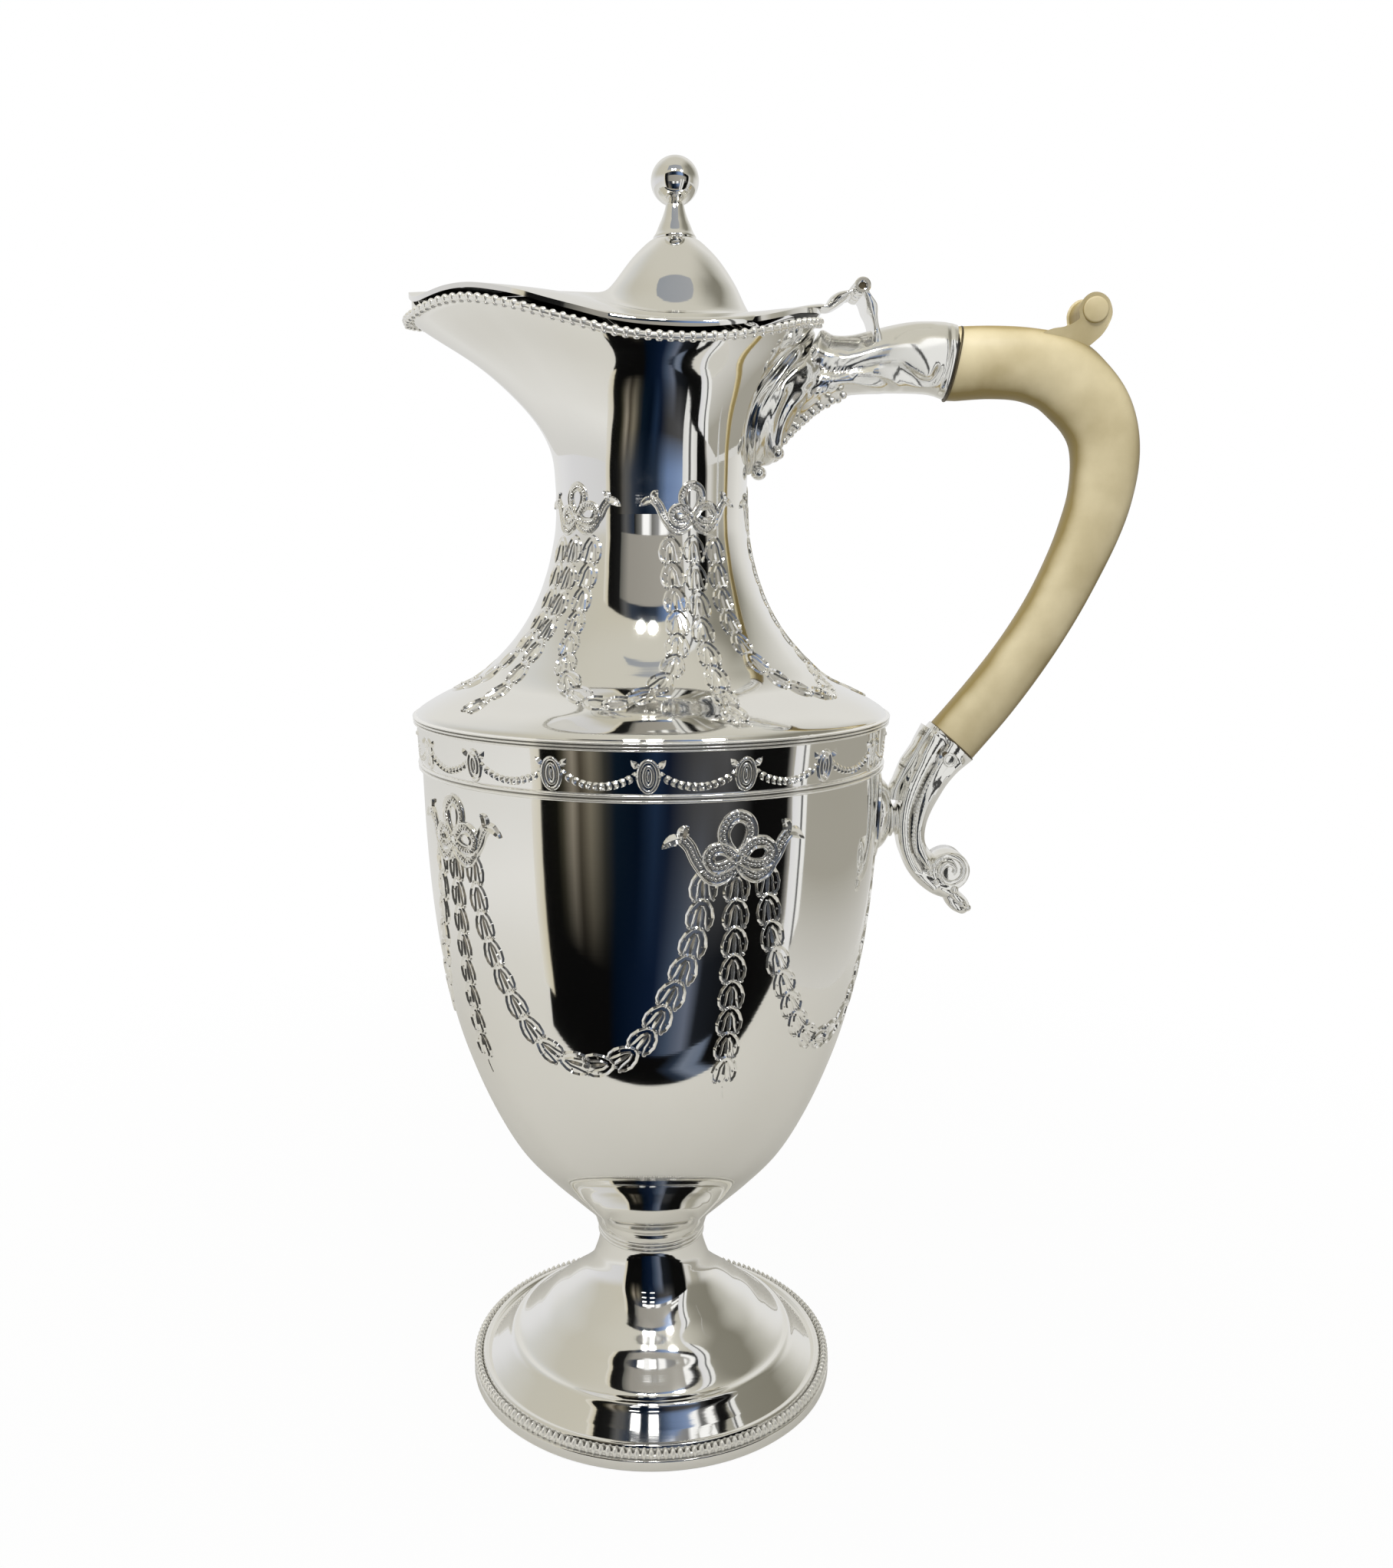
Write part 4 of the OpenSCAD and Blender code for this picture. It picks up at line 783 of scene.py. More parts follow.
def ring_between(top, under, half_w, sides, power=1.0):
    """Oval ring whose thickness runs from a place under the handle part to one on its top, in
    the side view."""
    across, rise = top[0] - under[0], top[1] - under[1]
    return oval_ring(((top[0] + under[0]) / 2, (top[1] + under[1]) / 2),
                     np.hypot(across, rise) / 2, half_w, np.degrees(np.arctan2(across, rise)),
                     sides, power)


def lofted(rings, steps):
    """Smooth skin through rings, as a grid: rings by sides by 3."""
    r = np.asarray(rings, float)
    return smooth(r.reshape(len(r), -1), steps).reshape(-1, r.shape[1], 3)


def carved(grid, relief):
    """Moves the sides of a skin out or in along its normals: each ridge is a bell across its
    line in the side view."""
    d_row = np.gradient(grid, axis=0)
    d_col = np.roll(grid, -1, 1) - np.roll(grid, 1, 1)
    n = np.cross(d_row, d_col)
    n /= np.maximum(1e-9, np.linalg.norm(n, axis=-1))[..., None]
    middle = grid.mean(axis=1, keepdims=True)
    n *= np.where(np.median(np.sum(n * (grid - middle), -1)) < 0, -1, 1)
    p = grid[..., [0, 2]].reshape(-1, 1, 2)
    lift = np.zeros(len(p))
    for line, height, width in relief:
        q = smooth(line, 4) if len(line) > 1 else np.array([line[0], line[0]], float)
        a, d = q[:-1][None], (q[1:] - q[:-1])[None]
        u = np.clip(np.sum((p - a) * d, -1) / np.maximum(1e-9, np.sum(d * d, -1)), 0, 1)
        dist = np.linalg.norm(p - a - u[..., None] * d, axis=-1).min(axis=1)
        lift += height * np.exp(-(dist / width) ** 2)
    side = np.clip(1.3 * np.abs(n[..., 1]), 0, 1)
    return grid + (lift.reshape(grid.shape[:2]) * side)[..., None] * n


def skin(grid):
    """Points and faces of a skin, closed round its columns, with both ends covered."""
    rows, cols = grid.shape[:2]
    faces = grid_faces(rows, cols, close_cols=True).tolist()
    faces += [list(range(cols)), list(range((rows - 1) * cols, rows * cols))]
    return grid.reshape(-1, 3), faces


def pearls_beside(places, y, r):
    """Pearls on both sides of the handle's plane at places in the side view."""
    frames = [(np.eye(3) * size, (x, side * width, z)) for side in (-1, 1)
              for (x, z), width, size in zip(places, y, r)]
    return repeated(bead_shape(10, 7), frames)


def leaf_ring(size, lift, sides):
    """Outline of the leaf on the mouth: across in angle and up in height, lifted off it."""
    a = np.linspace(0, 2 * np.pi, sides, endpoint=False)
    w = (size * np.sin(a) + 1) / 2
    t = size * np.cos(a) * leaf_top_half * along(leaf_half_shares, w)
    v = mix(0.22, 0.97, w)
    return mouth_at(t, v) + lift * mouth_normal(t, v)


branch_sides = 72
branch_rings = [leaf_ring(size, lift, branch_sides)
                for size, lift in ((1, -0.5), (1, 0.35), (0.97, 1.1), (0.88, 2.0))]
branch_rings += [ring_between(*row, branch_sides) for row in upper_sides]
leaf_silver = polished_silver("leaf_silver", silver_tone, 0.12, 0.05, hammer=0.04, pit=0.04,
                              tarnish=0.5)
branch_grid = carved(lofted(branch_rings, 12),
                     [(line, 0.75 * height, 1.15 * width) for line, height, width in upper_relief])
pearl_w = np.interp([x for x, _ in upper_pearls], [31, 34, 38, 46], [5.4, 4.2, 4.0, 4.6])
piece("upper_branch", *joined(skin(branch_grid),
                              pearls_beside(upper_pearls, pearl_w, [0.95] * len(upper_pearls)),
                              pearls_beside([(30.0, 237.5)], [5.6], [1.5]),
                              repeated(bead_shape(12, 8), [(np.diag([1.9, 2.3, 1.7]),
                                                            (25.9, 0, 233.2))])),
      leaf_silver, "jug", "silver_cast", ["upper_socket"], crease=50, outwards=False)

# HINGE STAND
# Cast silver plate, shaped as a baluster, that rises from the upper branch and carries three
# of the hinge's five knuckles. The pins, and the nut and washer inside the lid, keep the
# shapes of the solids.
hinge_w, knuckle_r = 15.0, 1.9
hinge_at = np.array([rear_reach + 8.3, float(wire_z(0.0)) + 7.6])
# The plate in the side view: x, z, half thickness and half width
stand_stations = [(52.9, 262.5, 1.5, 6.0), (52.8, 264.4, 1.15, 6.3), (52.6, 265.8, 0.85, 6.0),
                  (52.3, 267.2, 0.8, 5.9), (51.9, 268.8, 1.0, 6.0), (51.5, 270.2, 1.4, 6.4),
                  (51.2, 271.3, 1.45, 6.8), (50.6, 272.4, 1.15, 7.1), (50.0, 273.3, 0.95, 7.4),
                  (49.6, 273.9, 1.0, 7.5)]


def knuckle(y, bore):
    """Short barrel about the hinge's pin, with broken edges and a bore. A fifth of the hinge's
    width, less a little air at each end."""
    h, r = hinge_w / 10 - 0.06, knuckle_r
    outline = [[bore, 0.6 - h], [bore + 0.25, 0.5 - h], [bore + 0.25, -h], [r - 0.25, -h],
               [r, 0.25 - h], [r, h - 0.25], [r - 0.25, h], [bore + 0.25, h],
               [bore + 0.25, h - 0.5], [bore, h - 0.6]]
    points, faces = turned(outline, 40)
    return np.stack([points[:, 0] + hinge_at[0], points[:, 2] + y, points[:, 1] + hinge_at[1]],
                    -1), faces


cast_silver = polished_silver("cast_silver", silver_tone, 0.07, 0.05, hammer=0.05, pit=0.06,
                              tarnish=0.9)
stand_rings = [oval_ring((x, z), half, w, 90, 40, 0.45) for x, z, half, w in stand_stations]
piece("hinge_baluster", *joined(skin(lofted(stand_rings, 5)), knuckle(-6, 0.84), knuckle(0, 0.84),
                                knuckle(6, 0.84)),
      cast_silver, "jug", "silver_cast", ["hinge_stand"], crease=40)
pin_silver = polished_silver("pin_silver", (0.14, 0.115, 0.075), 0.35, 0.2)
for node in ("hinge_pin", "upper_socket_pin", "lower_socket_pin"):
    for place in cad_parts[node].material_slots:
        place.material = pin_silver
for node in ("finial_washer", "finial_nut"):
    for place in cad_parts[node].material_slots:
        place.material = wire_silver

# GRIP
# Cream grip carved in one piece: an oval bar bent to a C, with a tongue that rises from its
# outer side and rolls into a curl. Its tenons sit in the two branches, each held by a pin.
grip_bow, lower_joint = 36.7, np.array([bowl_r + 18.4, z_band + 5.3])
grip_shares = [[1, 0], [1.004, 0.25], [0.998, 0.48], [0.975, 0.683], [0.932, 0.815],
               [0.879, 0.923], [0.817, 0.985], [0.744, 1], [0.658, 0.972], [0.579, 0.913],
               [0.486, 0.818], [0.366, 0.669], [0.243, 0.479], [0.119, 0.25], [0, 0]]
grip_t_shares = [1, 0.98, 0.99, 1.06, 1.06, 1.03, 0.98, 0.945, 0.895, 0.86, 0.81, 0.775, 0.77,
                 0.79, 0.795]
# Half widths of the tongue at heights, and its outline in the side view with its curl
curl_widths = [(259.4, 2.2), (262.2, 2.6), (264.5, 3.6), (267, 4.6), (269, 4.95)]
curl_outline = [(88.5, 262.2), (93.3, 265.1), (96.9, 265.8), (99.3, 266.8), (100.5, 267.9),
                (100.5, 269.0), (100.45, 270.5), (101.2, 272.2), (102.7, 273.3), (104.5, 273.2),
                (106.0, 272.0), (106.8, 269.6), (106.3, 267.3), (105.2, 265.2), (103.7, 263.7),
                (102.2, 262.3), (99.8, 259.4), (94.0, 259.4)]


def cream_finish():
    """Warm cream, mottled darker in random patches and faint streaks, with a dull polish. Painted
    shade darkens it on its underside and where its surface turns away from its broad sides.
    """
    material, tree, shader = new_finish("cream_grip")
    place = add_node(tree, "ShaderNodeTexCoord", (-1300, 0))
    cloud = add_node(tree, "ShaderNodeTexNoise", (-1000, 200), Scale=55.0, Detail=8.0)
    streak_map = add_node(tree, "ShaderNodeMapping", (-1150, -150), Scale=(60, 400, 60))
    streak = add_node(tree, "ShaderNodeTexNoise", (-1000, -150), Scale=1.0, Detail=6.0)
    link(place, "Object", cloud, "Vector")
    link(place, "Object", streak_map, "Vector")
    link(streak_map, "Vector", streak, "Vector")
    shape = add_node(tree, "ShaderNodeNewGeometry", (-1300, 500))
    split = add_node(tree, "ShaderNodeSeparateXYZ", (-1100, 500))
    link(shape, "Normal", split, "Vector")
    # Painted shade: darker where the surface faces down, and where it turns away from the broad
    # sides
    under = spread(split, "Z", (-900, 500), 0.15, -0.9)
    patch = spread(cloud, "Fac", (-800, 200), 0.35, 0.7, 0, 0.5)
    turned_away = add_node(tree, "ShaderNodeMath", (-900, 800), operation="ABSOLUTE")
    link(split, "Y", turned_away, 0)
    edge = spread(turned_away, "Value", (-700, 800), 0.93, 0.3, 0, 0.95, "SMOOTHSTEP")
    painted_shade = add_node(tree, "ShaderNodeMath", (-750, 550), operation="MULTIPLY_ADD")
    painted_shade.inputs[1].default_value = 0.45
    link(under, "Result", painted_shade, 0)
    link(edge, "Result", painted_shade, 2)
    # Painted shade added to the random mottled patches; the sum mixes the cream towards dark brown
    dark = add_node(tree, "ShaderNodeMath", (-600, 350), operation="ADD", use_clamp=True)
    link(painted_shade, "Value", dark, 0)
    link(patch, "Result", dark, 1)
    tone = add_node(tree, "ShaderNodeMix", (-400, 200), data_type="RGBA",
                    A=(0.68, 0.60, 0.40, 1), B=(0.26, 0.195, 0.065, 1))
    link(dark, "Value", tone, "Factor")
    link(tone, "Result", shader, "Base Color")
    link(spread(streak, "Fac", (-600, -150), 0, 1, 0.3, 0.48), "Result", shader, "Roughness")
    grain = add_node(tree, "ShaderNodeBump", (-400, -300), Strength=0.25, Distance=0.0002)
    link(streak, "Fac", grain, "Height")
    link(grain, "Normal", shader, "Normal")
    return material


def pressed(outline, widths, edge):
    """Flat body between two sides of an outline in the side view, with rounded edges. The
    widths give its half width at heights."""
    o = smooth(list(outline) + [outline[0]], 4)[:-1]
    d = np.roll(o, -1, 0) - np.roll(o, 1, 0)
    n = np.stack([-d[:, 1], d[:, 0]], 1) / np.linalg.norm(d, axis=1)[:, None]
    turn = np.sign(np.sum(d[:, 0] * np.roll(o, -1, 0)[:, 1] - d[:, 1] * np.roll(o, -1, 0)[:, 0]))
    rows = []
    half_w = np.interp(o[:, 1], *np.transpose(widths))
    for inset, side, back in ((1, -1, 0), (0.3, -1, 0.3), (0, -1, 1), (0, 1, 1), (0.3, 1, 0.3),
                              (1, 1, 0)):
        p = o + turn * inset * edge * n
        rows.append(np.stack([p[:, 0], side * (half_w - back * edge), p[:, 1]], -1))
    return skin(np.array(rows))


chord = np.array([mix(lower_joint, upper_joint, h) + [grip_bow * b, 0] for h, b in grip_shares])
grip_line = smooth(chord, 8)
grip_half = smooth([[grip_t * s / 2, 0] for s in grip_t_shares], 8)[:, 0]
lean = np.degrees(np.unwrap(np.arctan2(*np.gradient(grip_line, axis=0).T))) - 90
lean = lean - 360 * np.round((lean[0] - upper_tilt) / 360)
lean[0], lean[-1] = upper_tilt, lower_tilt
grip_rings = [oval_ring(p, h, grip_w / 2 * (1 - 0.1 * i / (len(grip_line) - 1)), a, 48, 0.92)
              for i, (p, h, a) in enumerate(zip(grip_line, grip_half, lean))]
curl_face = turned([[0.01, 0], [2.6, 0], [2.95, 0.12], [3.05, 0.35], [3.05, 0.9], [0.01, 0.9]], 32)
curl_parts = [pressed(curl_outline, curl_widths, 0.7)]
for side in (-1, 1):
    p = curl_face[0]
    curl_parts.append((np.stack([103.6 + p[:, 0], side * (5.2 - p[:, 2]), 270.2 + p[:, 1]], -1),
                       curl_face[1]))
cream_grip = cream_finish()
piece("cream_grip", *joined(skin(np.array(grip_rings)), *curl_parts),
      cream_grip, "jug", "cream_grip", ["handle_grip"], crease=50)
# Dark line of old polish where the grip meets each branch
joint_lines = [
    tube(oval_ring(at, half + 0.05, w + 0.05, tilt, 64, 0.92), 0.28, 8, True, beside)
    for at, half, w, tilt, beside in (
        (upper_joint, grip_t / 2, grip_w / 2, upper_tilt, (1.0, 0, 0)),
        (lower_joint, grip_t * grip_t_shares[-1] / 2, grip_w * 0.45, lower_tilt, (0.66, 0, 0.75)))]
piece("grip_joints", *joined(*joint_lines), pin_silver, "jug", "silver_cast")

# LOWER BRANCH
# Cast silver arm under the grip: a socket, two ridges with a stippled band between them, a
# scroll with pearls at its end and a small leaf below. A thin prong runs down its inner side.
lower_sides = [
    [(69.4, 172.9), (80.1, 163.2), 5.9], [(67.9, 170.4), (78.5, 161.9), 5.9],
    [(65.9, 166.9), (76.4, 160.0), 5.8], [(64.1, 162.6), (74.1, 157.2), 5.6],
    [(62.8, 158.2), (72.2, 154.0), 5.4], [(61.9, 153.6), (70.5, 150.7), 5.2],
    [(61.7, 149.0), (69.3, 147.4), 5.0], [(61.9, 144.4), (68.9, 143.8), 4.9],
    [(62.8, 139.9), (69.6, 141.2), 4.8], [(64.6, 135.5), (71.6, 138.9), 4.7],
    [(67.4, 131.9), (73.6, 136.8), 4.6], [(70.9, 129.2), (75.0, 134.4), 4.5],
    [(74.2, 127.9), (76.5, 132.2), 4.3]]
lower_relief = [
    ([(69.9, 169.8), (66.8, 163), (64, 156), (62.5, 148.7), (62.7, 142.8), (65.8, 136.5),
      (71.3, 131.4)], 1.1, 0.9),
    ([(76.2, 163.3), (72.2, 159.5), (68.3, 152.9), (66.6, 145.6), (67.9, 140.5),
      (69.6, 136.9)], 1.0, 0.8),
    ([(72.5, 168.5), (69.5, 162.5), (66.2, 155), (64.5, 148), (65, 141.5), (68, 136)], -1.1, 0.8),
    ([(71.8, 171.9), (76, 168.1), (81.2, 163.6)], -0.4, 0.5),
    ([(69, 171.5), (67.5, 168), (66.5, 165.5)], 0.5, 0.9)]
scroll_at = np.array([74.9, 135.6])
coil_count = 60
turns = np.linspace(0, 1, coil_count)
coil = np.stack([scroll_at[0] + mix(4.4, 0.9, turns) * np.cos(np.radians(160 - 560 * turns)),
                 scroll_at[1] + mix(4.4, 0.9, turns) * np.sin(np.radians(160 - 560 * turns))], 1)
barrel = [[0.01, -4.1], [3.4, -4.1], [3.9, -4.6], [4.6, -4.65], [4.95, -4.2], [4.95, 4.2],
          [4.6, 4.65], [3.9, 4.6], [3.4, 4.1], [0.01, 4.1]]
b_points, b_faces = turned(barrel, 64)
b_points = np.stack([b_points[:, 0] + scroll_at[0], b_points[:, 2], b_points[:, 1] + scroll_at[1]],
                    -1)
lower_parts = [(b_points, b_faces)]
for side in (-1, 1):
    lower_parts.append(tube(np.column_stack([coil[:, 0], np.full(coil_count, side * 4.45),
                                             coil[:, 1]]),
                            np.linspace(0.75, 0.55, coil_count), 10, beside=(0, 1.0, 0)))
lower_rings = [ring_between(*row, 56, 0.95) for row in lower_sides]
lower_parts.append(skin(carved(lofted(lower_rings, 10), lower_relief)))
prong = [(69.0, 171.4), (66.9, 168), (64.8, 164), (62.8, 160.2), (61.2, 156.8), (60.6, 153.5)]
prong_line = smooth(prong, 6)
prong_lean = np.degrees(np.arctan2(*np.gradient(prong_line, axis=0).T)) - 90
prong_half = np.interp(np.arange(len(prong_line)), [0, 8, 14, 22, 30], [1.9, 1.4, 1.9, 1.3, 1.9])
prong_w = np.linspace(3.8, 2.6, len(prong_line))
lower_parts.append(skin(np.array([oval_ring(p, h, w, a, 28) for p, a, h, w in zip(
    prong_line, prong_lean, prong_half, prong_w)])))
tail = [[(73.6, 130.6), (76.8, 130.9), 2.4], [(74.4, 127.4), (78.6, 129.2), 3.0],
        [(76.2, 125.0), (80.2, 127.6), 3.1], [(78.6, 123.7), (81.0, 126.0), 2.5],
        [(80.0, 123.9), (80.9, 125.1), 1.2]]
lower_parts.append(skin(carved(lofted([ring_between(*row, 40) for row in tail], 8), [
    ([(75, 129), (77.5, 126.8), (80, 125)], -0.5, 0.5), ([(76.6, 129.4), (79.2, 127.4)], 0.4, 0.4),
    ([(75.4, 126.8), (78, 124.9)], 0.4, 0.4)])))
lower_parts.append(pearls_beside(
    [(70.7, 137.3), (69.9, 135.2), (72.2, 134.6), (71.4, 132.9), (76.1, 131.0), (72.6, 138.9),
     (78.4, 126.8), (80.3, 125.5)],
    [4.6, 4.6, 4.6, 4.7, 4.7, 4.6, 2.6, 1.6], [0.85, 0.8, 0.75, 0.8, 1.0, 0.8, 0.8, 0.9]))
stipple = smooth([(0.5 * (a[0] + b[0]), 0.5 * (a[1] + b[1])) for a, b, _ in lower_sides[3:9]], 4)
lower_parts.append(pearls_beside(stipple, np.linspace(5.15, 4.5, len(stipple)),
                                 [0.5] * len(stipple)))
# Raised ring round each end of the pin
pin_x, pin_z, pin_ring_r = 73.5, 164.1, 1.45
pin_count = 24
pin_turn = np.linspace(0, 2 * np.pi, pin_count, endpoint=False)
for side in (-1, 1):
    lower_parts.append(tube(np.column_stack([pin_x + pin_ring_r * np.cos(pin_turn),
                                             np.full(pin_count, side * 5.65),
                                             pin_z + pin_ring_r * np.sin(pin_turn)]), 0.45, 8,
                            True, (0, 1.0, 0)))
piece("lower_branch", *joined(*lower_parts), cast_silver, "jug", "silver_cast", ["lower_socket"],
      crease=50)

# STRUT AND PLATE
# Turned silver strut between the arm and the bowl, and the cast oval plate that it stands on.
# Both are soldered.
strut_r, plate_h, plate_w, plate_t, strut_z = 4.3, 22.5, 17.0, 3.2, 148.2
plate_face, arm_x = bowl_r + plate_t, 63.4
strut_shares = [[0.85, 0], [1, 0.06], [1, 0.2], [0.8, 0.27], [0.78, 0.38], [0.93, 0.47],
                [0.93, 0.55], [0.78, 0.63], [0.8, 0.72], [1, 0.8], [1, 1]]
strut_loop = [[0.01, 0]] + [[strut_r * a, (arm_x - plate_face) * b]
                            for a, b in smooth(strut_shares, 4)] + [[0.01, arm_x - plate_face]]
points, faces = turned(strut_loop, 64)
points = np.stack([points[:, 2] + plate_face, points[:, 0], points[:, 1] + strut_z], -1)
piece("handle_baluster", points, faces, leaf_silver, "jug", "silver_cast", ["handle_strut"])


def plate_ring(size, lift):
    """Oval round the plate, wrapped on the bowl, lifted off it and cut flat at the strut."""
    a = np.linspace(0, 2 * np.pi, 96, endpoint=False)
    z = strut_z + plate_h * 0.06 + size * plate_h / 2 * np.sin(a)
    r = np.interp(z, bowl_outline[:, 1], bowl_outline[:, 0]) + 0.1 + lift
    t = np.arcsin(size * plate_w / 2 * np.cos(a) / bowl_r)
    x = np.minimum(r * np.cos(t), plate_face) if lift > 1 else r * np.cos(t)
    return np.stack([x, r * np.sin(t), z], -1)


plate_rows = [(0.3, 0), (0.65, 0), (0.97, 0), (1, 0.15), (1, 0.7), (0.97, 0.95), (0.92, 1.0),
              (0.87, 0.8), (0.84, 0.75), (0.8, 1.4), (0.74, 2.2), (0.66, 2.9), (0.56, 3.5),
              (0.46, 4), (0.3, 4.3), (0.1, 4.4)]
piece("bowl_plate", *skin(np.array([plate_ring(s, h) for s, h in plate_rows])), cast_silver,
      "jug", "silver_cast", ["body_plate"], crease=40)

# LID
# Raised from silver sheet: a dome that runs out into the spout and to the lip's edge. A hole
# in its top takes the finial's stud.
lid_t, lid_gap, lid_inset, dome_r, dome_h, dome_x = 1.1, 1.2, 0.6, 18.0, 18.3, 5.5
dome_foot_z, spout_ridge = z_lip + 8.7, 7.6
seat_z = dome_foot_z + dome_h
dome_shares = [[0.15, 1], [0.28, 1], [0.417, 0.902], [0.606, 0.705], [0.8, 0.421], [0.917, 0.18],
               [1, 0], [1.15, -0.4]]


def lid_top(t, r):
    """Height of the lid's upper face at an angle and a distance from the dome's axis: the
    higher of the dome and the flange, blended softly."""
    e = lip_xy(t, lid_inset) - [dome_x, 0]
    q = np.maximum(0, (r - dome_r) / (np.linalg.norm(e, axis=-1) - dome_r))
    foot = dome_foot_z - lid_t + spout_ridge * np.maximum(0, -np.cos(t)) ** 1.5
    low = edge_z(t) + lid_gap * (1 - 0.72 * np.maximum(0, -np.cos(t)) ** 40)
    flange = mix(foot, low + lid_t, np.minimum(1, q)) + 2 * lid_t * q * (1 - q)
    dome = dome_foot_z + dome_h * along(dome_shares, r / dome_r)
    k = dome_h * 0.11
    soft = np.maximum(dome, flange) + k * np.log1p(np.exp(-np.abs(dome - flange) / k))
    return np.where(r <= 0.28 * dome_r, seat_z, np.where(q >= 1, flange, soft))


lid_edge = lip_xy(round_angles, lid_inset) - [dome_x, 0]
lid_reach = np.linalg.norm(lid_edge, axis=1)
dome_steps = np.concatenate([[0.15, 0.28], np.linspace(0.3, 1, 26)]) * dome_r
lid_r = np.column_stack([np.tile(dome_steps, (mouth_sides, 1)),
                         dome_r + (lid_reach - dome_r)[:, None] * np.linspace(0, 1, 31)[1:]])
lid_z = lid_top(round_angles[:, None], lid_r)
slope = np.gradient(lid_z, axis=1) / np.gradient(lid_r, axis=1)
slope[:, :3] = 0
lean_in = 1 / np.sqrt(1 + slope**2)
under_r = lid_r + lid_t * slope * lean_in
under_z = lid_z - lid_t * lean_in
under_r[:, -1], under_z[:, -1] = lid_r[:, -1], lid_z[:, -1] - lid_t
loop_r = np.column_stack([lid_r[:, ::-1], under_r])
loop_z = np.column_stack([lid_z[:, ::-1], under_z])
unit_edge = lid_edge / lid_reach[:, None]
lid_points = np.stack([dome_x + loop_r * unit_edge[:, :1], loop_r * unit_edge[:, 1:], loop_z], -1)
piece("lid_shell", lid_points.transpose(1, 0, 2).reshape(-1, 3),
      grid_faces(loop_r.shape[1], mouth_sides, close_rows=True, close_cols=True), sheet_silver,
      "lid", "silver_sheet", ["lid"], crease=50)
# A dark sheet just under the lid near its edge: painted shadow, which darkens the gap under the
# lid's edge
painted_shadow_silver = polished_silver("painted_shadow_silver", (0.06, 0.052, 0.042), 0.35, 0.1)
edge_rows = slice(-12, -1)
edge_under = np.stack([dome_x + under_r[:, edge_rows] * unit_edge[:, :1],
                       under_r[:, edge_rows] * unit_edge[:, 1:], under_z[:, edge_rows] - 0.04], -1)
piece("lid_edge_shadow", edge_under.transpose(1, 0, 2).reshape(-1, 3),
      grid_faces(edge_under.shape[1], mouth_sides, close_cols=True), painted_shadow_silver, "lid",
      "silver_sheet", outwards=False)

# LID HINGE LEAF
# Cast silver leaf, soldered on the lid behind the dome, with an arm to the lid's two
# knuckles, which turn on the hinge's pin.
leaf_l, leaf_t = 11.5, 1.3
lid_back_x = rear_reach - lid_inset


def on_lid(x, y):
    """Height of the lid's upper face at a place."""
    t = np.arctan2(y / mouth_half_w, (x - mouth_mid) / (rear_reach - mouth_mid))
    return lid_top(t, np.hypot(x - dome_x, y))


leaf_shares = [[0, 0.1, 0.5], [0.12, 0.3, 0.9], [0.35, 0.5, 1], [0.6, 0.42, 1], [0.8, 0.5, 1],
               [1, 0.6, 1]]
# Its arm in the side view: x, z, half thickness and half width
arm_stations = [(41.3, 271.1, 0.7, 4.4), (42.4, 272.0, 1.3, 5.4), (43.8, 272.9, 1.35, 6.2),
                (45.0, 273.4, 1.1, 6.6), (46.0, 273.8, 0.7, 6.9), (46.6, 274.0, 0.75, 7.0)]
arm_lean = -25
a = np.linspace(0, 2 * np.pi, 32, endpoint=False)
leaf_rings = []
for u, w, h in leaf_shares:
    y = hinge_w / 2 * w * np.cos(a)
    x = np.full(32, lid_back_x - leaf_l * (1 - u))
    leaf_rings.append(np.stack([x, y, on_lid(x, y) + 0.1 + leaf_t * h * (0.5 + 0.5 * np.sin(a))],
                               -1))
leaf_rings += [oval_ring((x, z), half, w, arm_lean, 32, 0.6) for x, z, half, w in arm_stations]
tongue, tongue_faces = skin(np.array([oval_ring(place, 0.75, 1.25, arm_lean, 16, 0.5)
                                      for place in ((46.2, 273.9), (47.6, 274.6))]))
leaf_parts = [skin(lofted(leaf_rings, 6))]
for y in (-3, 3):
    leaf_parts += [knuckle(y, 0.86), (tongue + [0, y, 0], tongue_faces)]
piece("lid_leaf", *joined(*leaf_parts), cast_silver, "lid", "silver_cast", ["lid_hinge_leaf"],
      crease=50)

# FINIAL
# Turned silver ball on a spreading neck. Its stud goes through the lid and is held by a washer
# and a nut inside.
finial_h, ball_r, finial_base_r, stud_r = 18.6, 5.6, 5.0, 1.6
finial_shares = [[1, 0], [1, 0.03], [0.88, 0.08], [0.74, 0.17], [0.58, 0.27], [0.47, 0.36],
                 [0.42, 0.42]]
ball_z = seat_z + finial_h - ball_r
neck_line = smooth([[finial_base_r * a, seat_z + finial_h * b] for a, b in finial_shares], 6)
start = np.arcsin(neck_line[-1, 0] / ball_r)
polar = np.linspace(np.pi - start, 0.02, 40)
finial_loop = np.vstack([[[0.01, seat_z - 5.5], [stud_r, seat_z - 5.5], [stud_r, seat_z]],
                         neck_line, np.stack([ball_r * np.sin(polar),
                                              ball_z + ball_r * np.cos(polar)], 1)])
points, faces = turned(finial_loop, 96)
piece("lid_finial", points + [dome_x, 0, 0], faces, sheet_silver, "lid", "silver_cast",
      ["finial"], crease=30)

# STAGE
# Pale floor and a pale tent. Cards that only the silver sees give it dark, grey and pale
# reflections, small lamps give its highlights, and a soft light comes from above. The camera
# stands where the photograph was taken.
focal_length, frame_h, shift_right, sensor = 1756, 2044, 59, 36.0
camera_data = bpy.data.cameras.new("camera")
camera_data.sensor_width = sensor
camera_data.lens = sensor * focal_length / frame_h
camera_data.shift_x = shift_right / frame_h
camera = put("camera", camera_data)
camera.location = (0, -0.333, 0.2158)
camera.rotation_euler = (np.radians(80), 0, 0)
bpy.context.scene.camera = camera
bpy.context.scene.view_settings.view_transform = "Standard"


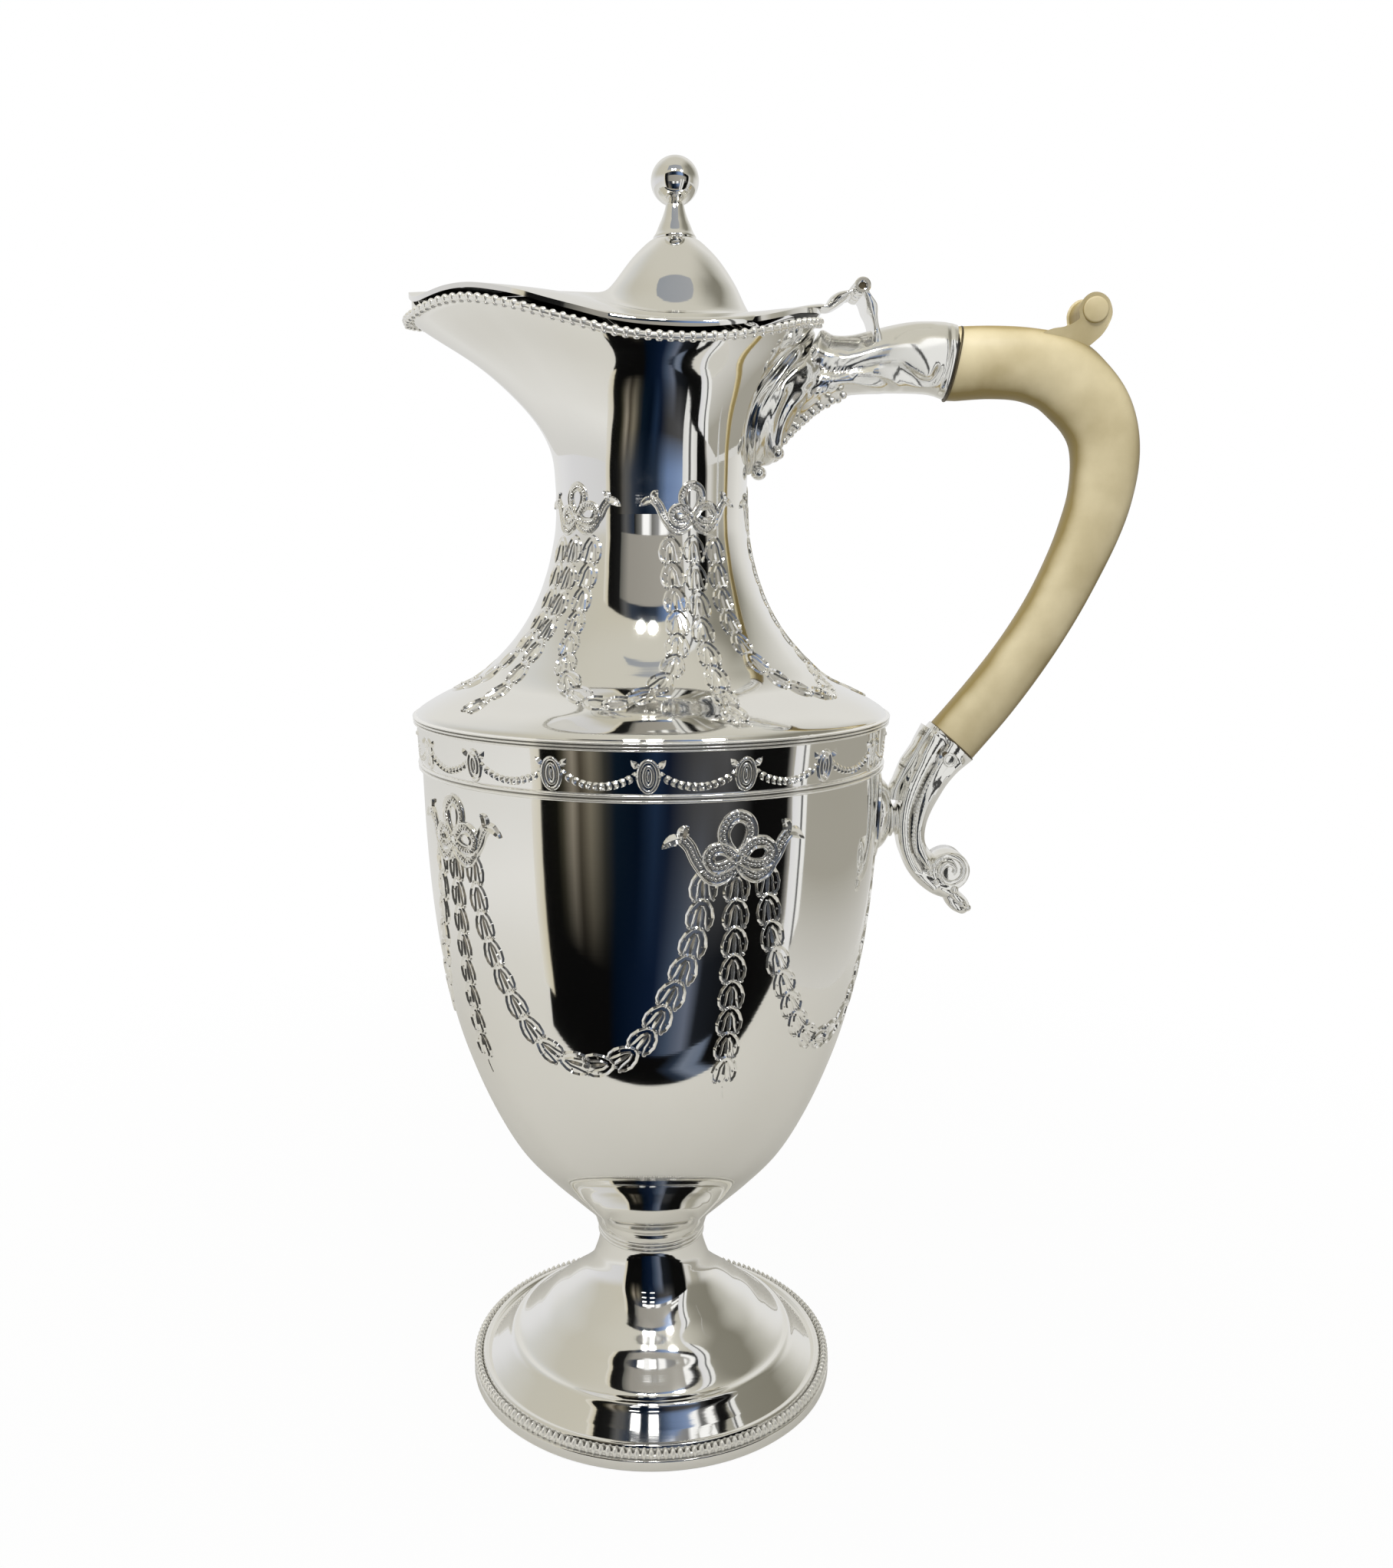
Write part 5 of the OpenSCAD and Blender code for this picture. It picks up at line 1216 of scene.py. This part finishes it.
def bands(source, output, at, colours):
    """Colour ramp node on an output, from its places and colours."""
    node = add_node(source.id_data, "ShaderNodeValToRGB", at)
    while len(node.color_ramp.elements) < len(colours):
        node.color_ramp.elements.new(0.5)
    for element, (where, colour) in zip(node.color_ramp.elements, colours):
        element.position = where
        element.color = (*colour, 1)
    link(source, output, node, "Fac")
    return node


def card(name, corners, *rows, glow_strength=1.0, one_sided=False):
    """Flat card that only polished metal sees. Each row is a height share and its colours from
    left to right, each with a place; the rows run into each other over a fifth of the height.
    A card with one side can be seen through from behind."""
    mesh = bpy.data.meshes.new(name)
    mesh.from_pydata((np.array(corners) * MM).tolist(), [], [[0, 1, 2, 3]])
    mesh.uv_layers.new(name="card")
    mesh.uv_layers["card"].data.foreach_set("uv", [0, 0, 1, 0, 1, 1, 0, 1])
    made = put(name, mesh)
    material, tree, _ = new_finish(name)
    tree.nodes.clear()
    place = add_node(tree, "ShaderNodeUVMap", (-900, 0))
    split = add_node(tree, "ShaderNodeSeparateXYZ", (-700, 0))
    glow = add_node(tree, "ShaderNodeEmission", (200, 0), Strength=glow_strength)
    out = add_node(tree, "ShaderNodeOutputMaterial", (400, 0))
    link(place, "UV", split, "Vector")
    below = None
    for k, (share, colours) in enumerate(rows):
        colour = bands(split, "X", (-500, -250 * k), colours), "Color"
        if below:
            rise = spread(split, "Y", (-200, -250 * k), share - 0.1, share + 0.1)
            both = add_node(tree, "ShaderNodeMix", (0, -250 * k), data_type="RGBA")
            link(rise, "Result", both, "Factor")
            link(*below, both, "A")
            link(*colour, both, "B")
            colour = both, "Result"
        below = colour
    link(*below, glow, "Color")
    shown = glow, "Emission"
    if one_sided:
        facing = add_node(tree, "ShaderNodeNewGeometry", (200, 300))
        clear = add_node(tree, "ShaderNodeBsdfTransparent", (200, -150))
        either = add_node(tree, "ShaderNodeMixShader", (400, 150))
        link(facing, "Backfacing", either, "Fac")
        link(*shown, either, 1)
        link(clear, "BSDF", either, 2)
        shown = either, "Shader"
    link(*shown, out, "Surface")
    mesh.materials.append(material)
    made.visible_camera = made.visible_diffuse = made.visible_shadow = False


def upright_corners(x0, x1, y, z0, z1):
    """Corners of an upright card from side to side. Its front faces away from the camera where
    x0 is above x1."""
    return [(x0, y, z0), (x1, y, z0), (x1, y, z1), (x0, y, z1)]


def level_corners(x0, x1, y0, y1, z):
    """Corners of a level card."""
    return [(x0, y0, z), (x1, y0, z), (x1, y1, z), (x0, y1, z)]


# Big dark card in front: colours from left to right low down, half way up and high up
ivory, black, blue = (0.70, 0.68, 0.62), (0.003, 0.003, 0.003), (0.001, 0.004, 0.011)
low_dark = [(0.0, ivory), (0.055, (0.6, 0.55, 0.42)), (0.06, black), (0.26, black), (0.28, blue),
            (0.36, (0.004, 0.01, 0.028)), (0.4, (0.05, 0.07, 0.11)), (0.44, (0.12, 0.14, 0.19)),
            (0.47, (0.01, 0.012, 0.016)), (0.6, black), (0.9, black), (1.0, (0.3, 0.29, 0.27))]
mid_dark = [(0.0, ivory), (0.055, (0.66, 0.63, 0.55)), (0.06, black),
            (0.13, (0.006, 0.006, 0.004)), (0.15, (0.05, 0.045, 0.03)), (0.18, (0.27, 0.24, 0.19)),
            (0.2, (0.06, 0.05, 0.035)), (0.225, (0.18, 0.16, 0.12)), (0.255, (0.03, 0.03, 0.026)),
            (0.275, (0.003, 0.008, 0.016)), (0.315, blue), (0.345, (0.01, 0.022, 0.05)),
            (0.37, (0.004, 0.008, 0.02)), (0.42, (0.05, 0.05, 0.052)),
            (0.5, (0.075, 0.075, 0.078)), (0.56, (0.03, 0.03, 0.03)), (0.6, black), (0.9, black),
            (0.94, (0.25, 0.24, 0.22)), (1.0, (0.5, 0.49, 0.46))]
high_dark = [(0.0, ivory), (0.055, (0.6, 0.55, 0.42)), (0.06, black), (0.16, (0.01, 0.01, 0.01)),
             (0.2, (0.10, 0.10, 0.10)), (0.24, (0.03, 0.04, 0.06)), (0.3, (0.004, 0.01, 0.022)),
             (0.36, (0.02, 0.032, 0.055)), (0.42, (0.16, 0.24, 0.42)), (0.53, (0.26, 0.36, 0.58)),
             (0.56, (0.05, 0.05, 0.055)), (0.62, black), (0.9, black), (1.0, (0.3, 0.29, 0.27))]
card("dark_card", [(-199, -152, 0.2), (340, -152, 0.2), (390, -152, 385), (-199, -152, 385)],
     (0.0, low_dark), (0.26, mid_dark), (0.52, high_dark))
# Foot of the dark card, seen in the lower halves of bowl and neck
low_bands = [(0.0, black), (0.46, black), (0.5, (0.02, 0.03, 0.05)), (0.54, (0.16, 0.19, 0.25)),
             (0.58, (0.13, 0.16, 0.22)), (0.61, black), (1.0, black)]
card("low_card", [(-185, -152, 0.2), (270, -152, 0.2), (225, -118, 0.2), (-145, -118, 0.2)],
     (0.0, low_bands))
# Pale streaks and a grey card above it, seen in the neck and the shoulder
streaks = [(0.0, black), (0.06, (0.2, 0.2, 0.19)), (0.08, (1, 1, 1)), (0.12, (1, 1, 1)),
           (0.15, (0.15, 0.15, 0.14)), (0.2, (0.3, 0.3, 0.3)), (0.225, (1, 1, 1)),
           (0.27, (1, 1, 1)), (0.3, (0.28, 0.28, 0.28)), (0.39, (0.2, 0.2, 0.2)),
           (0.42, (1, 1, 1)), (0.48, (1, 1, 1)), (0.52, (0.12, 0.12, 0.12)), (1.0, black)]
card("pale_card", upright_corners(-50, 300, -151, 233, 262), (0.0, streaks))
greys = [(0.0, (0.10, 0.10, 0.09)), (0.1, (0.30, 0.285, 0.255)), (0.6, (0.38, 0.365, 0.33)),
         (0.9, (0.28, 0.27, 0.25)), (1.0, (0.1, 0.1, 0.1))]
card("grey_card", upright_corners(-100, 220, -151, 262, 335), (0.0, greys))
# Pale cards with dark stripes in front of the two branches. The second shows its colours only
# to what lies behind it, so not to the front of the bowl
branch_bands = [(0.0, (0.72, 0.72, 0.74)), (0.4, (0.8, 0.8, 0.8)), (0.44, (0.06, 0.06, 0.06)),
                (0.54, (0.06, 0.06, 0.06)), (0.58, (0.85, 0.85, 0.84)), (1.0, (0.8, 0.8, 0.79))]
card("branch_card", upright_corners(70, 130, -60, 95, 200), (0.0, branch_bands))
side_bands = [(0.0, (0.75, 0.75, 0.74)), (0.28, (0.85, 0.85, 0.84)), (0.31, (0.03, 0.03, 0.03)),
              (0.4, (0.04, 0.04, 0.04)), (0.43, (0.8, 0.8, 0.79)), (0.66, (0.8, 0.8, 0.79)),
              (0.69, (0.05, 0.05, 0.05)), (0.75, (0.06, 0.06, 0.06)), (0.78, (0.75, 0.75, 0.74)),
              (1.0, (0.62, 0.62, 0.60))]
card("side_card", upright_corners(98, 56, -22, 112, 285), (0.0, side_bands), one_sided=True)
# Beige floor far on the right, seen low on the bowl's right side
right_floor = [(0.0, (0.62, 0.61, 0.58)), (0.18, (0.36, 0.345, 0.30)), (1.0, (0.34, 0.325, 0.28))]
card("right_floor", level_corners(240, 1600, -250, 1500, 0.4), (0.0, right_floor))
# Pale card with a dark stripe in front of the leaf on the mouth, and a grey patch above
leaf_bands = [(0.0, (0.7, 0.7, 0.69)), (0.3, (0.8, 0.8, 0.79)), (0.36, (0.1, 0.1, 0.1)),
              (0.46, (0.1, 0.1, 0.1)), (0.52, (0.8, 0.8, 0.79)), (1.0, (0.65, 0.65, 0.63))]
card("leaf_card", upright_corners(28, 52, -50, 215, 295), (0.0, leaf_bands))
card("ceiling_patch", upright_corners(-44, 56, -60, 348, 408),
     (0.0, [(0.0, (0.30, 0.32, 0.35)), (1.0, (0.36, 0.37, 0.39))]))
# Lamps seen in the silver as small squares, one over the other
plain_white = [(0.0, (1, 1, 1)), (1.0, (1, 1, 1))]
for k, height in enumerate((110, 158, 200, 232)):
    for side, left, right in (("left", -44, -24), ("right", -5, 15)):
        card(f"lamp_{side}_{k}", level_corners(left, right, -140, -150, height),
             (0.0, plain_white), glow_strength=2.5, one_sided=True)
for k, height in enumerate((262, 300)):
    card(f"soft_lamp_{k}", level_corners(120, 190, -138, -150, height), (0.0, plain_white),
         one_sided=True)

floor_mesh = bpy.data.meshes.new("floor")
floor_mesh.from_pydata([(-3, -3, 0), (3, -3, 0), (3, 3, 0), (-3, 3, 0)], [], [[0, 1, 2, 3]])
floor = put("floor", floor_mesh)
floor.location = (0, 0, -0.0002)
floor_finish, tree, matt = new_finish("floor")
matt.inputs["Base Color"].default_value = (0.57, 0.565, 0.55, 1)
matt.inputs["Roughness"].default_value = 0.9
matt.inputs["Specular IOR Level"].default_value = 0.1
light_path = add_node(tree, "ShaderNodeLightPath", (-600, 300))
white = add_node(tree, "ShaderNodeEmission", (-200, 300), Strength=1.0)
blend = add_node(tree, "ShaderNodeMixShader", (200, 200))
place = add_node(tree, "ShaderNodeTexCoord", (-900, 100))
far = add_node(tree, "ShaderNodeVectorMath", (-700, 100), operation="LENGTH")
link(place, "Object", far, 0)
fade = spread(far, "Value", (-500, 100), 0.1, 0.42, 0.965, 1, "SMOOTHSTEP")
far_fade = spread(far, "Value", (-500, -150), 0.16, 0.5, 0, 0.5, "SMOOTHSTEP")
share = add_node(tree, "ShaderNodeMix", (-300, 100), data_type="FLOAT")
link(light_path, "Is Camera Ray", share, "Factor")
link(far_fade, "Result", share, "A")
link(fade, "Result", share, "B")
link(share, "Result", blend, "Fac")
link(matt, "BSDF", blend, 1)
link(white, "Emission", blend, 2)
link(blend, "Shader", tree.nodes["Material Output"], "Surface")
floor_mesh.materials.append(floor_finish)

world = bpy.data.worlds.new("tent")
bpy.context.scene.world = world
world.use_nodes = True
tree = world.node_tree
tree.nodes.clear()
path_kind = add_node(tree, "ShaderNodeLightPath", (-900, 500))
place = add_node(tree, "ShaderNodeTexCoord", (-1300, 0))
split = add_node(tree, "ShaderNodeSeparateXYZ", (-1100, 0))
front = add_node(tree, "ShaderNodeMath", (-950, -150), operation="MULTIPLY")
front.inputs[1].default_value = -1
turn = add_node(tree, "ShaderNodeMath", (-800, -100), operation="ARCTAN2")
link(place, "Generated", split, "Vector")
link(split, "Y", front, 0)
link(split, "X", turn, 0)
link(front, "Value", turn, 1)
turn_share = spread(turn, "Value", (-650, -100), -np.pi, np.pi)
# Colours of the tent at degrees round the ewer, 0 in front and 90 at the handle: its walls and
# its upper part
wall_rows = [(-180, (0.78, 0.78, 0.78)), (-152, (0.78, 0.78, 0.78)), (-128, (0.76, 0.76, 0.78)),
             (-104, (0.70, 0.70, 0.72)), (-60, (0.66, 0.66, 0.67)), (0, (0.64, 0.64, 0.63)),
             (64, (0.55, 0.54, 0.50)), (74, (0.66, 0.65, 0.62)), (80, (0.42, 0.40, 0.34)),
             (93, (0.36, 0.35, 0.30)), (103, (0.60, 0.59, 0.56)), (125, (0.76, 0.75, 0.72)),
             (152, (0.78, 0.78, 0.78)), (180, (0.78, 0.78, 0.78))]
upper_rows = [(-180, (0.72, 0.71, 0.68)), (-150, (0.76, 0.75, 0.72)), (-128, (0.64, 0.64, 0.62)),
              (-100, (0.55, 0.53, 0.46)), (-40, (0.57, 0.54, 0.45)), (10, (0.55, 0.52, 0.42)),
              (50, (0.45, 0.43, 0.36)), (76, (0.24, 0.23, 0.19)), (106, (0.22, 0.21, 0.17)),
              (120, (0.46, 0.45, 0.40)), (148, (0.76, 0.75, 0.72)), (180, (0.72, 0.71, 0.68))]
walls, upper = (bands(turn_share, "Result", (-450, at), [((degrees + 180) / 360, colour)
                                                         for degrees, colour in rows])
                for at, rows in ((-100, wall_rows), (150, upper_rows)))
height = spread(split, "Z", (-650, 300), 0.08, 0.42, kind="SMOOTHSTEP")
zenith = spread(split, "Z", (-650, 550), 0.72, 0.97, kind="SMOOTHSTEP")
lower_mix = add_node(tree, "ShaderNodeMix", (-250, 150), data_type="RGBA")
ceiling = add_node(tree, "ShaderNodeMix", (-50, 300), data_type="RGBA", B=(0.60, 0.58, 0.51, 1))
link(height, "Result", lower_mix, "Factor")
link(walls, "Color", lower_mix, "A")
link(upper, "Color", lower_mix, "B")
link(zenith, "Result", ceiling, "Factor")
link(lower_mix, "Result", ceiling, "A")
tent = add_node(tree, "ShaderNodeBackground", (-300, 0))
link(ceiling, "Result", tent, "Color")
bright = add_node(tree, "ShaderNodeBackground", (-300, 200), Strength=1.0, Color=(1, 1, 1, 1))
choose = add_node(tree, "ShaderNodeMixShader", (0, 100))
out = add_node(tree, "ShaderNodeOutputWorld", (200, 100))
link(path_kind, "Is Camera Ray", choose, "Fac")
link(tent, "Background", choose, 1)
link(bright, "Background", choose, 2)
link(choose, "Shader", out, "Surface")


def lamp(name, at, size, watts, seen_in_silver):
    """Lamp at a point in millimetres: a small ball, or a square panel that points down."""
    data = bpy.data.lights.new(name, "POINT" if seen_in_silver else "AREA")
    data.energy = watts
    if seen_in_silver:
        data.shadow_soft_size = size * MM
    else:
        data.size = size * MM
    made = put(name, data)
    made.location = np.array(at) * MM
    made.visible_glossy = seen_in_silver


lamp("tent_top", (-60, -120, 700), 600, 3.0, False)
lamp("small_lamp_left", (-36, -165, 430), 14, 0.35, True)
lamp("small_lamp_right", (6, -165, 430), 14, 0.35, True)
lamp("side_lamp", (120, -165, 430), 22, 0.5, True)
